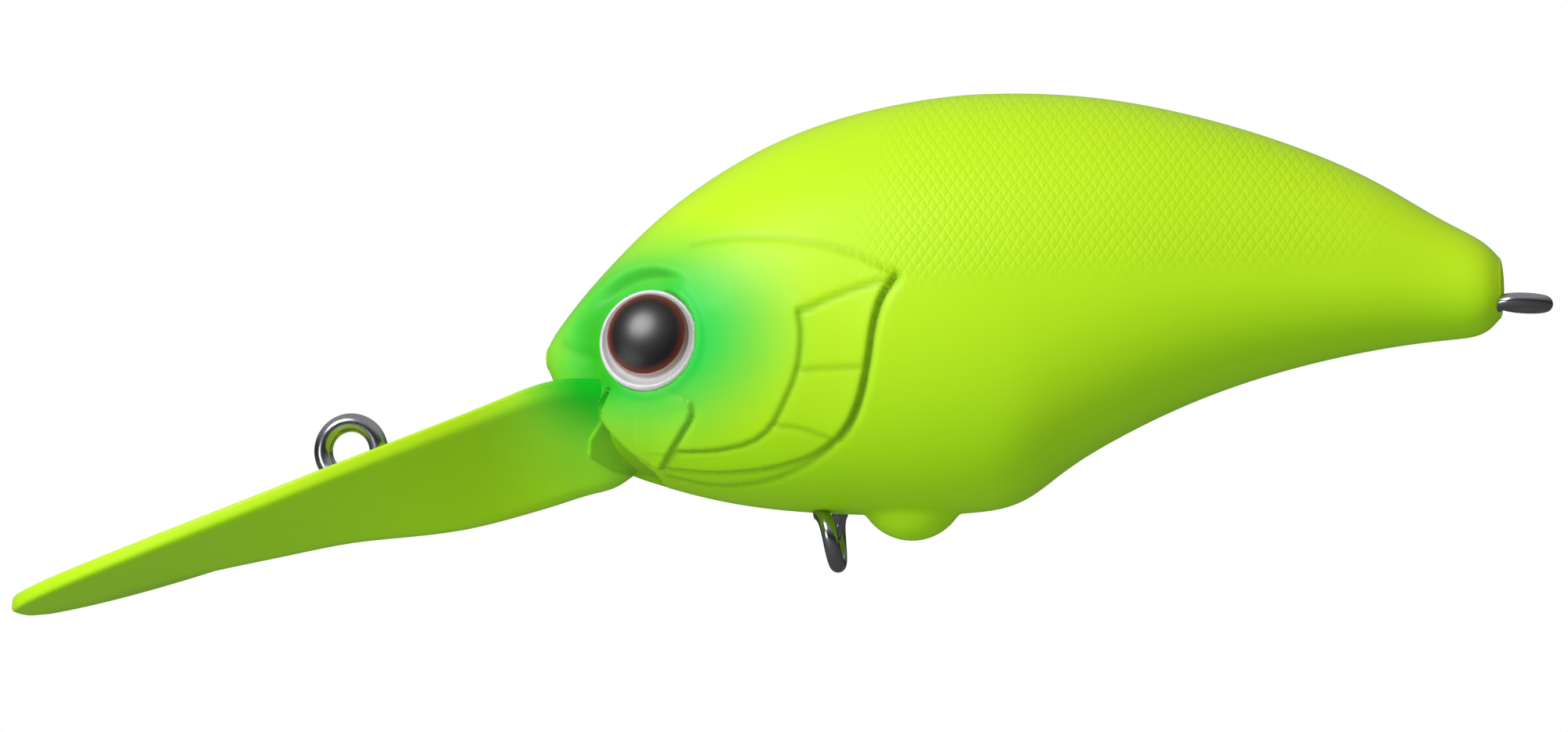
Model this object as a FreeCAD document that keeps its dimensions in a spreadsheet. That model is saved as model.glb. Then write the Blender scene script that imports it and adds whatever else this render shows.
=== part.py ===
import FreeCAD, Part
import math
import os

import Sketcher
from FreeCAD import Placement, Rotation, Vector

# Deep-diving crankbait. Millimetres. The origin is the centre of the line-tie eye,
# +X points out of the nose along the body, +Y is the lure's left and +Z is up.

doc = FreeCAD.newDocument("Crankbait")

# ---------------------------------------------------------------- driving dimensions

DIMENSIONS = [
    ("body_length", 60.0),  # nose to tail face
    ("body_height", 26.6),  # belly to back at the deepest place
    ("body_half_width", 8.8),
    ("nose_setback", 13.0),  # line-tie eye to nose
    ("belly_drop", 4.4),  # line-tie eye down to the belly line
    ("shell_wall", 1.3),
    ("rib_thickness", 1.2),
    ("fit_clearance", 0.05),
    ("wire_clearance", 0.03),
    ("boss_wall", 0.9),
    ("bill_reach", 21.9),  # line-tie eye forward to the tip of the bill
    ("bill_half_width", 10.4),
    ("bill_edge", 1.0),  # thickness of the bill's rim
    ("bill_standoff", 2.0),  # line-tie eye down to the bill's top face
    ("bill_slope", 0.402),  # fall of the top face per millimetre forward
    ("bill_sweep", 0.00265),  # how the top face flattens towards the tip
    ("keel_depth", 8.2),  # top face to keel where the bill enters the throat
    ("keel_half_width", 0.8),
    ("root_half_width", 3.0),
    ("tang_length", 2.5),
    ("tang_half_width", 1.6),
    ("tang_height", 3.6),
    ("tie_ring_radius", 1.8),  # to the middle of the wire
    ("tie_wire_radius", 0.6),
    ("tie_anchor_radius", 0.95),
    ("tie_anchor_reach", 3.35),  # eye centre to anchor loop centre
    ("hanger_ring_radius", 1.75),
    ("hanger_wire_radius", 0.5),
    ("hanger_anchor_radius", 1.4),
    ("belly_neck", 7.2),  # outer loop centre to anchor loop centre
    ("tail_neck", 7.4),
    ("belly_hanger_drop", 1.4),  # belly line down to the loop's centre
    ("belly_hanger_lean", 8.0),  # degrees, foot of the loop towards the tail
    ("tail_hanger_stand", 1.05),  # tail face back to the loop's centre
    ("tail_hanger_dip", 3.5),  # degrees
    ("post_radius", 0.8),
    ("tang_post_radius", 0.95),
    ("post_engagement", 1.8),  # length of a post inside its socket
    ("bump_radius", 3.46),
    ("bump_rise", 1.81),  # bump centre above the belly line
    ("belly_ball_radius", 2.3),
    ("slug_radius", 2.3),
    ("slug_half_length", 5.2),
    ("knocker_radius", 2.0),
    ("knocker_chamber_half", 5.9),
    ("midship_ball_radius", 1.8),
    ("midship_chamber_half", 5.6),
    ("back_ball_radius", 2.1),
    ("back_chamber_length", 12.0),
    ("rear_ball_radius", 1.9),
    ("rear_chamber_length", 9.0),
    ("tail_ball_radius", 1.2),
    ("tail_chamber_half", 2.6),
    ("roll_clearance", 0.1),
    ("eye_radius", 3.2),
    ("eye_seat", 1.5),  # socket floor below the eye's reference point
    ("eye_foil_thickness", 0.45),
    ("pupil_radius", 2.5),
    ("pupil_thickness", 0.12),
    ("lens_height", 0.95),
    ("eye_yaw", 14.0),  # degrees, towards the nose
    ("eye_pitch", 8.0),  # degrees, upwards
    ("eye_y", 6.75),  # reference point of the left eye, out from the middle
]

sheet = doc.addObject("Spreadsheet::Sheet", "Dims")
for row, (alias, value) in enumerate(DIMENSIONS, start=1):
    sheet.set("A%d" % row, alias)
    sheet.set("B%d" % row, str(value))
    sheet.setAlias("B%d" % row, alias)
doc.recompute()


def dim(alias):
    """A reference to one driving dimension, for use inside an expression."""
    return "Dims." + alias


def along(share):
    """X of a station at this share of the body's length, counted from the nose."""
    return "(-Dims.nose_setback - Dims.body_length * %.5f)" % share


def height(share):
    """Z of a point at this share of the body's height, counted from the belly line."""
    return "(-Dims.belly_drop + Dims.body_height * %.5f)" % share


# ---------------------------------------------------------------- shape tables

# Body sections from nose to tail: share of the length, then the top, bottom and waist as
# shares of the height, and the half width as a share of the largest half width.
BODY_STATIONS = [
    (0.000, 0.410, 0.350, 0.382, 0.145),
    (0.007, 0.436, 0.314, 0.379, 0.265),
    (0.020, 0.476, 0.254, 0.375, 0.390),
    (0.043, 0.540, 0.169, 0.370, 0.528),
    (0.077, 0.623, 0.109, 0.367, 0.666),
    (0.123, 0.721, 0.071, 0.369, 0.783),
    (0.183, 0.818, 0.036, 0.382, 0.884),
    (0.258, 0.905, 0.011, 0.406, 0.964),
    (0.342, 0.964, 0.000, 0.435, 0.997),
    (0.408, 0.990, -0.002, 0.454, 1.000),
    (0.453, 0.999, 0.004, 0.466, 0.990),
    (0.483, 1.000, 0.014, 0.475, 0.976),
    (0.510, 0.999, 0.039, 0.484, 0.960),
    (0.543, 0.995, 0.093, 0.495, 0.933),
    (0.600, 0.980, 0.173, 0.511, 0.875),
    (0.683, 0.940, 0.261, 0.525, 0.763),
    (0.783, 0.868, 0.335, 0.532, 0.607),
    (0.883, 0.763, 0.382, 0.530, 0.453),
    (0.950, 0.672, 0.400, 0.520, 0.355),
    (0.987, 0.611, 0.423, 0.509, 0.293),
    (1.000, 0.553, 0.457, 0.504, 0.216),
]
CAVITY_STATIONS = BODY_STATIONS[3:19]
FULLNESS = 0.58  # control-point share that rounds each quarter of a section

# Bill sections ahead of the line tie: share of the reach, half width as a share of the
# largest, and how far the keel and the top are below the top face's own line, as shares
# of the keel's depth at the throat.
BILL_FRONT = [
    (1.000, 0.130, 0.105, 0.0),
    (0.970, 0.310, 0.135, 0.0),
    (0.905, 0.500, 0.155, 0.0),
    (0.800, 0.680, 0.180, 0.0),
    (0.640, 0.845, 0.205, 0.0),
    (0.430, 0.965, 0.265, 0.0),
    (0.200, 1.000, 0.370, 0.0),
    (0.000, 0.975, 0.480, 0.0),
]
# Bill sections behind the line tie: share of the nose setback, then as above. The top
# levels off in the mouth.
BILL_REAR = [
    (0.300, 0.880, 0.630, 0.0),
    (0.600, 0.735, 0.775, 0.0),
    (0.850, 0.605, 0.860, 0.0),
    (1.060, 0.550, 0.920, 0.03),
    (1.200, 0.530, 0.960, 0.11),
    (1.330, 0.500, 1.000, 0.22),
]
EYE_SHARE = 0.122
EYE_HEIGHT = 0.404

# ---------------------------------------------------------------- helpers


def origin_plane(body, name):
    """The body's own origin plane of this name."""
    for feature in body.Origin.OriginFeatures:
        if feature.Name.startswith(name):
            return feature
    raise ValueError(name)


def bound(obj, expressions):
    """Bind each property of the object to its expression."""
    for prop, expression in expressions.items():
        obj.setExpression(prop, expression)
    return obj


def section_sketch(body, name, x_expression):
    """An empty sketch on the body's YZ plane, moved along X by the expression."""
    sketch = body.newObject("Sketcher::SketchObject", name)
    sketch.AttachmentSupport = (origin_plane(body, "YZ_Plane"), [""])
    sketch.MapMode = "FlatFace"
    sketch.setExpression("AttachmentOffset.Base.z", x_expression)
    return sketch


def pin_point(sketch, geometry, position, x_expression, y_expression):
    """Hold a sketch point at the coordinates that two expressions give."""
    for kind, expression in (("DistanceX", x_expression), ("DistanceY", y_expression)):
        index = sketch.addConstraint(Sketcher.Constraint(kind, -1, 1, geometry, position, 1.0))
        sketch.setExpression("Constraints[%d]" % index, expression)


def quarter_curve(sketch, poles):
    """A cubic spline in the sketch whose four control points follow expressions."""
    guesses = [Vector(1.0 + i, 2.0 + i * i, 0) for i in range(4)]
    curve = sketch.addGeometry(Part.BSplineCurve(guesses, None, None, False, 3, None, False))
    for index, (x_expression, y_expression) in enumerate(poles):
        circle = Part.Circle(guesses[index], Vector(0, 0, 1), 1)
        pole = sketch.addGeometry(circle, True)
        sketch.addConstraint(
            Sketcher.Constraint(
                "InternalAlignment:Sketcher::BSplineControlPoint", pole, 3, curve, index
            )
        )
        sketch.addConstraint(Sketcher.Constraint("Weight", pole, 1.0))
        pin_point(sketch, pole, 3, x_expression, y_expression)
    return curve


def half_section(sketch, top, bottom, waist, half_width):
    """Half of a body section: back curve, belly curve and the straight seam edge."""
    side = "(%s) * %.3f" % (half_width, FULLNESS)
    above = "(%s) + ((%s) - (%s)) * %.3f" % (waist, top, waist, FULLNESS)
    below = "(%s) + ((%s) - (%s)) * %.3f" % (waist, bottom, waist, FULLNESS)
    back = quarter_curve(sketch, [("0", top), (side, top), (half_width, above), (half_width, waist)])
    belly = quarter_curve(
        sketch, [(half_width, waist), (half_width, below), (side, bottom), ("0", bottom)]
    )
    seam = sketch.addGeometry(Part.LineSegment(Vector(0, 0, 0), Vector(0, 1, 0)))
    sketch.addConstraint(Sketcher.Constraint("Coincident", seam, 1, belly, 2))
    sketch.addConstraint(Sketcher.Constraint("Coincident", seam, 2, back, 1))


def polygon_section(sketch, corners):
    """A closed polygon whose corners follow expressions."""
    count = len(corners)
    lines = []
    for index in range(count):
        start = Vector(index, index * index, 0)
        end = Vector(index + 1, (index + 1) ** 2, 0)
        lines.append(sketch.addGeometry(Part.LineSegment(start, end)))
    for index in range(count):
        following = lines[(index + 1) % count]
        sketch.addConstraint(Sketcher.Constraint("Coincident", lines[index], 2, following, 1))
    for line, (x_expression, y_expression) in zip(lines, corners):
        pin_point(sketch, line, 1, x_expression, y_expression)


def loft(body, name, sketches):
    """A PartDesign loft through the sketches in order."""
    feature = body.newObject("PartDesign::AdditiveLoft", name)
    feature.Profile = sketches[0]
    feature.Sections = sketches[1:]
    doc.recompute()
    return feature


def cylinder(name, radius, length, x, y, z, direction):
    """A cylinder that starts at a point and runs along a unit vector."""
    obj = doc.addObject("Part::Cylinder", name)
    obj.Placement = Placement(Vector(), Rotation(Vector(0, 0, 1), direction))
    return bound(
        obj,
        {
            "Radius": radius,
            "Height": length,
            "Placement.Base.x": x,
            "Placement.Base.y": y,
            "Placement.Base.z": z,
        },
    )


def cross_cylinder(name, radius, half_length, x, z):
    """A cylinder that lies across the lure, centred on the middle plane."""
    length = "2 * (%s)" % half_length
    return cylinder(name, radius, length, x, "-(%s)" % half_length, z, Vector(0, 1, 0))


def sphere(name, radius, x, y, z):
    """A sphere at a point."""
    obj = doc.addObject("Part::Sphere", name)
    return bound(
        obj,
        {
            "Radius": radius,
            "Placement.Base.x": x,
            "Placement.Base.y": y,
            "Placement.Base.z": z,
        },
    )


def box(name, x_from, x_to, y_from, y_to, z_from, z_to):
    """A box between two corners."""
    obj = doc.addObject("Part::Box", name)
    return bound(
        obj,
        {
            "Length": "(%s) - (%s)" % (x_to, x_from),
            "Width": "(%s) - (%s)" % (y_to, y_from),
            "Height": "(%s) - (%s)" % (z_to, z_from),
            "Placement.Base.x": x_from,
            "Placement.Base.y": y_from,
            "Placement.Base.z": z_from,
        },
    )


def fuse(name, objects):
    """The union of several objects."""
    obj = doc.addObject("Part::MultiFuse", name)
    obj.Shapes = objects
    return obj


def common(name, first, second):
    """The material two objects share."""
    obj = doc.addObject("Part::MultiCommon", name)
    obj.Shapes = [first, second]
    return obj


def cut(name, base, tool):
    """The base without the tool."""
    obj = doc.addObject("Part::Cut", name)
    obj.Base = base
    obj.Tool = tool
    obj.Refine = False
    return obj


def cut_each(name, base, tools):
    """The base without each tool in turn."""
    result = base
    for number, tool in enumerate(tools):
        result = cut("%s%02d" % (name, number), result, tool)
    return result


def mirrored(name, source):
    """The source mirrored through the lure's middle plane."""
    obj = doc.addObject("Part::Mirroring", name)
    obj.Source = source
    obj.Normal = Vector(0, 1, 0)
    return obj


def ring(name, ring_radius, wire_radius, placement_source):
    """A wire loop. Its frame comes from a function that binds the placement."""
    obj = doc.addObject("Part::Torus", name)
    bound(obj, {"Radius1": ring_radius, "Radius2": wire_radius})
    placement_source(obj)
    return obj


# ---------------------------------------------------------------- body hull and cavity

hull_body = doc.addObject("PartDesign::Body", "HalfHull")
hull_sections = []
for number, (share, top, bottom, waist, width) in enumerate(BODY_STATIONS):
    sketch = section_sketch(hull_body, "HullSection%02d" % number, along(share))
    half_section(
        sketch, height(top), height(bottom), height(waist), "Dims.body_half_width * %.4f" % width
    )
    hull_sections.append(sketch)
doc.recompute()
loft(hull_body, "HullLoft", hull_sections)

cavity_body = doc.addObject("PartDesign::Body", "HalfCavity")
cavity_sections = []
for number, (share, top, bottom, waist, width) in enumerate(CAVITY_STATIONS):
    inward = along(share) + " - Dims.shell_wall * %.4f" % (1 - 2 * share)
    sketch = section_sketch(cavity_body, "CavitySection%02d" % number, inward)
    half_section(
        sketch,
        height(top) + " - Dims.shell_wall",
        height(bottom) + " + Dims.shell_wall",
        height(waist),
        "Dims.body_half_width * %.4f - Dims.shell_wall" % width,
    )
    cavity_sections.append(sketch)
doc.recompute()
loft(cavity_body, "CavityLoft", cavity_sections)

BUMP_X = along(0.3867)
BUMP_Z = "(-Dims.belly_drop + Dims.bump_rise)"
far = "(Dims.body_length + Dims.nose_setback)"
bump_ball = sphere("BumpBall", dim("bump_radius"), BUMP_X, "0", BUMP_Z)
left_space = box("LeftSpace", "-2 * " + far, "2 * " + far, "0", far, "-" + far, far)
bump_left = common("BumpLeft", bump_ball, left_space)
outer_left = fuse("OuterLeft", [hull_body, bump_left])
outer_right = mirrored("OuterRight", outer_left)
cavity_right = mirrored("HalfCavityRight", cavity_body)

# ---------------------------------------------------------------- diving bill


def bill_top(x):
    """Z of the bill's top face at this X."""
    return "(-Dims.bill_standoff - Dims.bill_slope * %s + Dims.bill_sweep * %s * %s)" % (x, x, x)


def bill_section(body, name, x, width_share, depth_share, drop_share):
    """A bill section: flat top, upright rim and two facets that meet at the keel."""
    sketch = section_sketch(body, name, x)
    top = "(%s - Dims.keel_depth * %.4f)" % (bill_top(x), drop_share)
    side = "(Dims.bill_half_width * %.4f)" % width_share
    rim = top + " - Dims.bill_edge * %.4f" % min(1.0, depth_share * 6)
    keel = "(%s - Dims.keel_depth * %.4f)" % (bill_top(x), depth_share)
    flat = "(Dims.keel_half_width * %.4f)" % min(1.0, width_share * 3)
    polygon_section(
        sketch,
        [
            ("-" + side, top),
            (side, top),
            (side, rim),
            (flat, keel),
            ("-" + flat, keel),
            ("-" + side, rim),
        ],
    )
    return sketch


bill_body = doc.addObject("PartDesign::Body", "BillBlank")
bill_sections = []
for number, (share, width, depth, drop) in enumerate(BILL_FRONT):
    x = "(Dims.bill_reach * %.4f)" % share
    bill_sections.append(bill_section(bill_body, "BillFront%d" % number, x, width, depth, drop))
for number, (share, width, depth, drop) in enumerate(BILL_REAR):
    x = "(-Dims.nose_setback * %.4f)" % share
    bill_sections.append(bill_section(bill_body, "BillRear%d" % number, x, width, depth, drop))
doc.recompute()
loft(bill_body, "BillLoft", bill_sections)

ROOT_START = "(-Dims.nose_setback * %.4f)" % BILL_REAR[-1][0]
ROOT_END = along(0.1233)
KEEL_AT_ROOT = "(%s - Dims.keel_depth)" % bill_top(ROOT_START)
KEEL_AT_END = height(0.0900)
ROOT_TOP = "(%s + 1.55 * Dims.tang_height)" % KEEL_AT_ROOT
root_sections = []
ROOT_PLACES = [
    (ROOT_START, KEEL_AT_ROOT, "Dims.root_half_width"),
    (ROOT_END, KEEL_AT_END, "Dims.root_half_width * 0.75"),
]
for number, (x, keel, side) in enumerate(ROOT_PLACES):
    sketch = section_sketch(bill_body, "RootSection%d" % number, x)
    shoulder = "%s + 0.4 * Dims.tang_height" % keel
    polygon_section(
        sketch,
        [
            ("-" + side, ROOT_TOP),
            (side, ROOT_TOP),
            (side, shoulder),
            ("Dims.keel_half_width", keel),
            ("-Dims.keel_half_width", keel),
            ("-" + side, shoulder),
        ],
    )
    root_sections.append(sketch)
doc.recompute()
loft(bill_body, "RootLoft", root_sections)

TANG_END = "(%s - Dims.tang_length)" % ROOT_END
TANG_X = "(%s - 0.5 * Dims.tang_length)" % ROOT_END
TANG_FLOOR = "(%s + 0.35 * Dims.tang_height)" % KEEL_AT_END
TANG_Z = "(%s + 0.5 * Dims.tang_height)" % TANG_FLOOR
tang = box(
    "Tang",
    TANG_END,
    "%s + 1.0" % ROOT_END,
    "-Dims.tang_half_width",
    "Dims.tang_half_width",
    TANG_FLOOR,
    "%s + Dims.tang_height" % TANG_FLOOR,
)
tang_hole = cross_cylinder(
    "TangHole", "Dims.tang_post_radius + Dims.fit_clearance", "3 * Dims.tang_half_width", TANG_X, TANG_Z
)
bill_with_tang = fuse("BillWithTang", [bill_body, tang])

# The line tie stands square to the bill's top face, so its anchor loop lies down and back.
TIE_DOWN_X = "(-Dims.bill_slope / sqrt(1 + Dims.bill_slope^2))"
TIE_DOWN_Z = "(-1 / sqrt(1 + Dims.bill_slope^2))"


def tie_eye_frame(obj):
    """Loop in the middle plane at the origin."""
    obj.Placement = Placement(Vector(), Rotation(Vector(0, 0, 1), Vector(0, 1, 0)))


def tie_anchor_frame(obj):
    """Loop in the middle plane inside the bill."""
    obj.Placement = Placement(Vector(), Rotation(Vector(0, 0, 1), Vector(0, 1, 0)))
    bound(
        obj,
        {
            "Placement.Base.x": "Dims.tie_anchor_reach * " + TIE_DOWN_X,
            "Placement.Base.z": "Dims.tie_anchor_reach * " + TIE_DOWN_Z,
        },
    )


tie_slot_radius = "Dims.tie_wire_radius + Dims.wire_clearance"
tie_eye = ring("TieEye", dim("tie_ring_radius"), dim("tie_wire_radius"), tie_eye_frame)
tie_anchor = ring("TieAnchor", dim("tie_anchor_radius"), dim("tie_wire_radius"), tie_anchor_frame)
tie_eye_slot = ring("TieEyeSlot", dim("tie_ring_radius"), tie_slot_radius, tie_eye_frame)
tie_anchor_slot = ring("TieAnchorSlot", dim("tie_anchor_radius"), tie_slot_radius, tie_anchor_frame)

diving_bill = cut(
    "DivingBill", bill_with_tang, fuse("BillCuts", [tang_hole, tie_eye_slot, tie_anchor_slot])
)
line_tie_eye = fuse("LineTieEye", [tie_eye, tie_anchor])

# ---------------------------------------------------------------- hook hangers

BELLY_X = along(0.3040)
BELLY_Z = "(-Dims.belly_drop - Dims.belly_hanger_drop)"
TAIL_X = "(-Dims.nose_setback - Dims.body_length - Dims.tail_hanger_stand)"
TAIL_Z = height(0.4850)
BELLY_UP_X = "sin(Dims.belly_hanger_lean * 1deg)"
BELLY_UP_Z = "cos(Dims.belly_hanger_lean * 1deg)"
TAIL_IN_X = "cos(Dims.tail_hanger_dip * 1deg)"
TAIL_IN_Z = "sin(Dims.tail_hanger_dip * 1deg)"
BELLY_ANCHOR_X = "(%s + Dims.belly_neck * %s)" % (BELLY_X, BELLY_UP_X)
BELLY_ANCHOR_Z = "(%s + Dims.belly_neck * %s)" % (BELLY_Z, BELLY_UP_Z)
TAIL_ANCHOR_X = "(%s + Dims.tail_neck * %s)" % (TAIL_X, TAIL_IN_X)
TAIL_ANCHOR_Z = "(%s + Dims.tail_neck * %s)" % (TAIL_Z, TAIL_IN_Z)


def belly_loop_frame(obj):
    """Loop across the lure below the belly, its foot leaning towards the tail."""
    bound(
        obj,
        {
            "Placement.Rotation.Axis.x": "0",
            "Placement.Rotation.Axis.y": "1",
            "Placement.Rotation.Axis.z": "0",
            "Placement.Rotation.Angle": "(90 + Dims.belly_hanger_lean) * 1deg",
            "Placement.Base.x": BELLY_X,
            "Placement.Base.z": BELLY_Z,
        },
    )


def belly_anchor_frame(obj):
    """Loop in the middle plane round its post inside the belly."""
    obj.Placement = Placement(Vector(), Rotation(Vector(0, 0, 1), Vector(0, 1, 0)))
    bound(obj, {"Placement.Base.x": BELLY_ANCHOR_X, "Placement.Base.z": BELLY_ANCHOR_Z})


def tail_loop_frame(obj):
    """Level loop behind the tail face, dipping a little."""
    bound(
        obj,
        {
            "Placement.Rotation.Axis.x": "0",
            "Placement.Rotation.Axis.y": "1",
            "Placement.Rotation.Axis.z": "0",
            "Placement.Rotation.Angle": "-Dims.tail_hanger_dip * 1deg",
            "Placement.Base.x": TAIL_X,
            "Placement.Base.z": TAIL_Z,
        },
    )


def tail_anchor_frame(obj):
    """Loop in the middle plane round its post inside the tail."""
    obj.Placement = Placement(Vector(), Rotation(Vector(0, 0, 1), Vector(0, 1, 0)))
    bound(obj, {"Placement.Base.x": TAIL_ANCHOR_X, "Placement.Base.z": TAIL_ANCHOR_Z})


def neck(name, wire_radius, frame, reach):
    """The twisted neck as one round bar between an outer loop and its anchor loop."""
    x, z, inward_x, inward_z, angle = frame
    obj = doc.addObject("Part::Cylinder", name)
    return bound(
        obj,
        {
            "Radius": wire_radius,
            "Height": "%s - Dims.hanger_ring_radius - Dims.hanger_anchor_radius" % reach,
            "Placement.Rotation.Axis.x": "0",
            "Placement.Rotation.Axis.y": "1",
            "Placement.Rotation.Axis.z": "0",
            "Placement.Rotation.Angle": angle,
            "Placement.Base.x": "%s + Dims.hanger_ring_radius * %s" % (x, inward_x),
            "Placement.Base.z": "%s + Dims.hanger_ring_radius * %s" % (z, inward_z),
        },
    )


BELLY_FRAME = (BELLY_X, BELLY_Z, BELLY_UP_X, BELLY_UP_Z, "Dims.belly_hanger_lean * 1deg")
TAIL_FRAME = (TAIL_X, TAIL_Z, TAIL_IN_X, TAIL_IN_Z, "(90 - Dims.tail_hanger_dip) * 1deg")
NECK_RADIUS = "1.7 * Dims.hanger_wire_radius"
WIRE = dim("hanger_wire_radius")
SLOT = "Dims.hanger_wire_radius + Dims.wire_clearance"


def hanger(name, wire, neck_radius, loop_frame, anchor_frame, frame, reach):
    """Outer loop, neck and anchor loop of a hanger, at the given wire radius."""
    return fuse(
        name,
        [
            ring(name + "Loop", dim("hanger_ring_radius"), wire, loop_frame),
            ring(name + "Anchor", dim("hanger_anchor_radius"), wire, anchor_frame),
            neck(name + "Neck", neck_radius, frame, reach),
        ],
    )


belly_hanger = hanger(
    "BellyHanger",
    WIRE,
    NECK_RADIUS,
    belly_loop_frame,
    belly_anchor_frame,
    BELLY_FRAME,
    "Dims.belly_neck",
)
belly_slot = hanger(
    "BellySlot",
    SLOT,
    NECK_RADIUS + " + Dims.wire_clearance",
    belly_loop_frame,
    belly_anchor_frame,
    BELLY_FRAME,
    "Dims.belly_neck",
)
tail_hanger = hanger(
    "TailHanger",
    WIRE,
    NECK_RADIUS,
    tail_loop_frame,
    tail_anchor_frame,
    TAIL_FRAME,
    "Dims.tail_neck",
)
tail_slot = hanger(
    "TailSlot",
    SLOT,
    NECK_RADIUS + " + Dims.wire_clearance",
    tail_loop_frame,
    tail_anchor_frame,
    TAIL_FRAME,
    "Dims.tail_neck",
)

# ---------------------------------------------------------------- ballast and rattles

SLUG_X = along(0.2120)
SLUG_Z = height(0.1900)
KNOCKER_X = along(0.3400)
KNOCKER_Z = height(0.4500)
MIDSHIP_X = along(0.4380)
MIDSHIP_Z = height(0.4800)
BACK_X = along(0.4850)
BACK_Z = height(0.7500)
REAR_X = along(0.7180)
REAR_Z = height(0.5226)
TAILBALL_X = along(0.8020)
TAILBALL_Z = height(0.5226)

slug = cross_cylinder("ThroatSlug", dim("slug_radius"), dim("slug_half_length"), SLUG_X, SLUG_Z)
belly_ball = sphere("BellyBall", dim("belly_ball_radius"), BUMP_X, "0", BUMP_Z)
knocker = sphere("Knocker", dim("knocker_radius"), KNOCKER_X, "0", KNOCKER_Z)
midship_ball = sphere("MidshipBall", dim("midship_ball_radius"), MIDSHIP_X, "0", MIDSHIP_Z)
back_middle = "(%s + 0.5 * Dims.back_chamber_length)" % BACK_X
rear_middle = "(%s + 0.5 * Dims.rear_chamber_length)" % REAR_X
back_ball = sphere("BackBall", dim("back_ball_radius"), back_middle, "0", BACK_Z)
rear_ball = sphere("RearBall", dim("rear_ball_radius"), rear_middle, "0", REAR_Z)
tail_ball = sphere("TailBall", dim("tail_ball_radius"), TAILBALL_X, "0", TAILBALL_Z)

# Each chamber is a bored boss: name, axis, ball radius, length, X and Z.
CHAMBERS = [
    ("Knocker", "Y", "knocker_radius", "Dims.knocker_chamber_half", KNOCKER_X, KNOCKER_Z),
    ("Midship", "Y", "midship_ball_radius", "Dims.midship_chamber_half", MIDSHIP_X, MIDSHIP_Z),
    ("Tail", "Y", "tail_ball_radius", "Dims.tail_chamber_half", TAILBALL_X, TAILBALL_Z),
    ("Back", "X", "back_ball_radius", "Dims.back_chamber_length", BACK_X, BACK_Z),
    ("Rear", "X", "rear_ball_radius", "Dims.rear_chamber_length", REAR_X, REAR_Z),
]
chamber_walls = []
chamber_bores = []
for name, axis, radius, length, x, z in CHAMBERS:
    bore = "Dims.%s + Dims.roll_clearance" % radius
    wall = bore + " + Dims.boss_wall"
    if axis == "Y":
        chamber_walls.append(cross_cylinder(name + "Wall", wall, "Dims.body_half_width", x, z))
        chamber_bores.append(cross_cylinder(name + "Bore", bore, length, x, z))
    else:
        start = "%s - Dims.rib_thickness" % x
        whole = "%s + 2 * Dims.rib_thickness" % length
        lengthwise = Vector(1, 0, 0)
        chamber_walls.append(cylinder(name + "Wall", wall, whole, start, "0", z, lengthwise))
        chamber_bores.append(cylinder(name + "Bore", bore, length, x, "0", z, lengthwise))

# ---------------------------------------------------------------- eyes


def eye_frame(obj, side, depth):
    """Put the object's Z axis on the eye's axis, this deep below the reference point."""
    yaw = "(Dims.eye_yaw * 1deg)"
    pitch = "(Dims.eye_pitch * 1deg)"
    out_x = "sin(%s) * cos(%s)" % (yaw, pitch)
    out_y = "cos(%s) * cos(%s)" % (yaw, pitch)
    out_z = "sin(%s)" % pitch
    turn = "%d * (90deg - %s)" % (side, yaw)
    bound(
        obj,
        {
            "Placement.Base.x": "%s - (%s) * %s" % (along(EYE_SHARE), depth, out_x),
            "Placement.Base.y": "%d * (Dims.eye_y - (%s) * %s)" % (side, depth, out_y),
            "Placement.Base.z": "%s - (%s) * %s" % (height(EYE_HEIGHT), depth, out_z),
            "Placement.Rotation": "rotationz(%s) * rotationy(90deg - %s)" % (turn, pitch),
        },
    )


def revolved_body(name, points):
    """A body turned about its own Z axis from a closed outline of (radius, height) pairs."""
    body = doc.addObject("PartDesign::Body", name)
    sketch = body.newObject("Sketcher::SketchObject", name + "Profile")
    sketch.AttachmentSupport = (origin_plane(body, "XZ_Plane"), [""])
    sketch.MapMode = "FlatFace"
    polygon_section(sketch, points)
    turned = body.newObject("PartDesign::Revolution", name + "Turned")
    turned.Profile = sketch
    turned.ReferenceAxis = (sketch, ["V_Axis"])
    turned.Angle = 360
    return body


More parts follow.
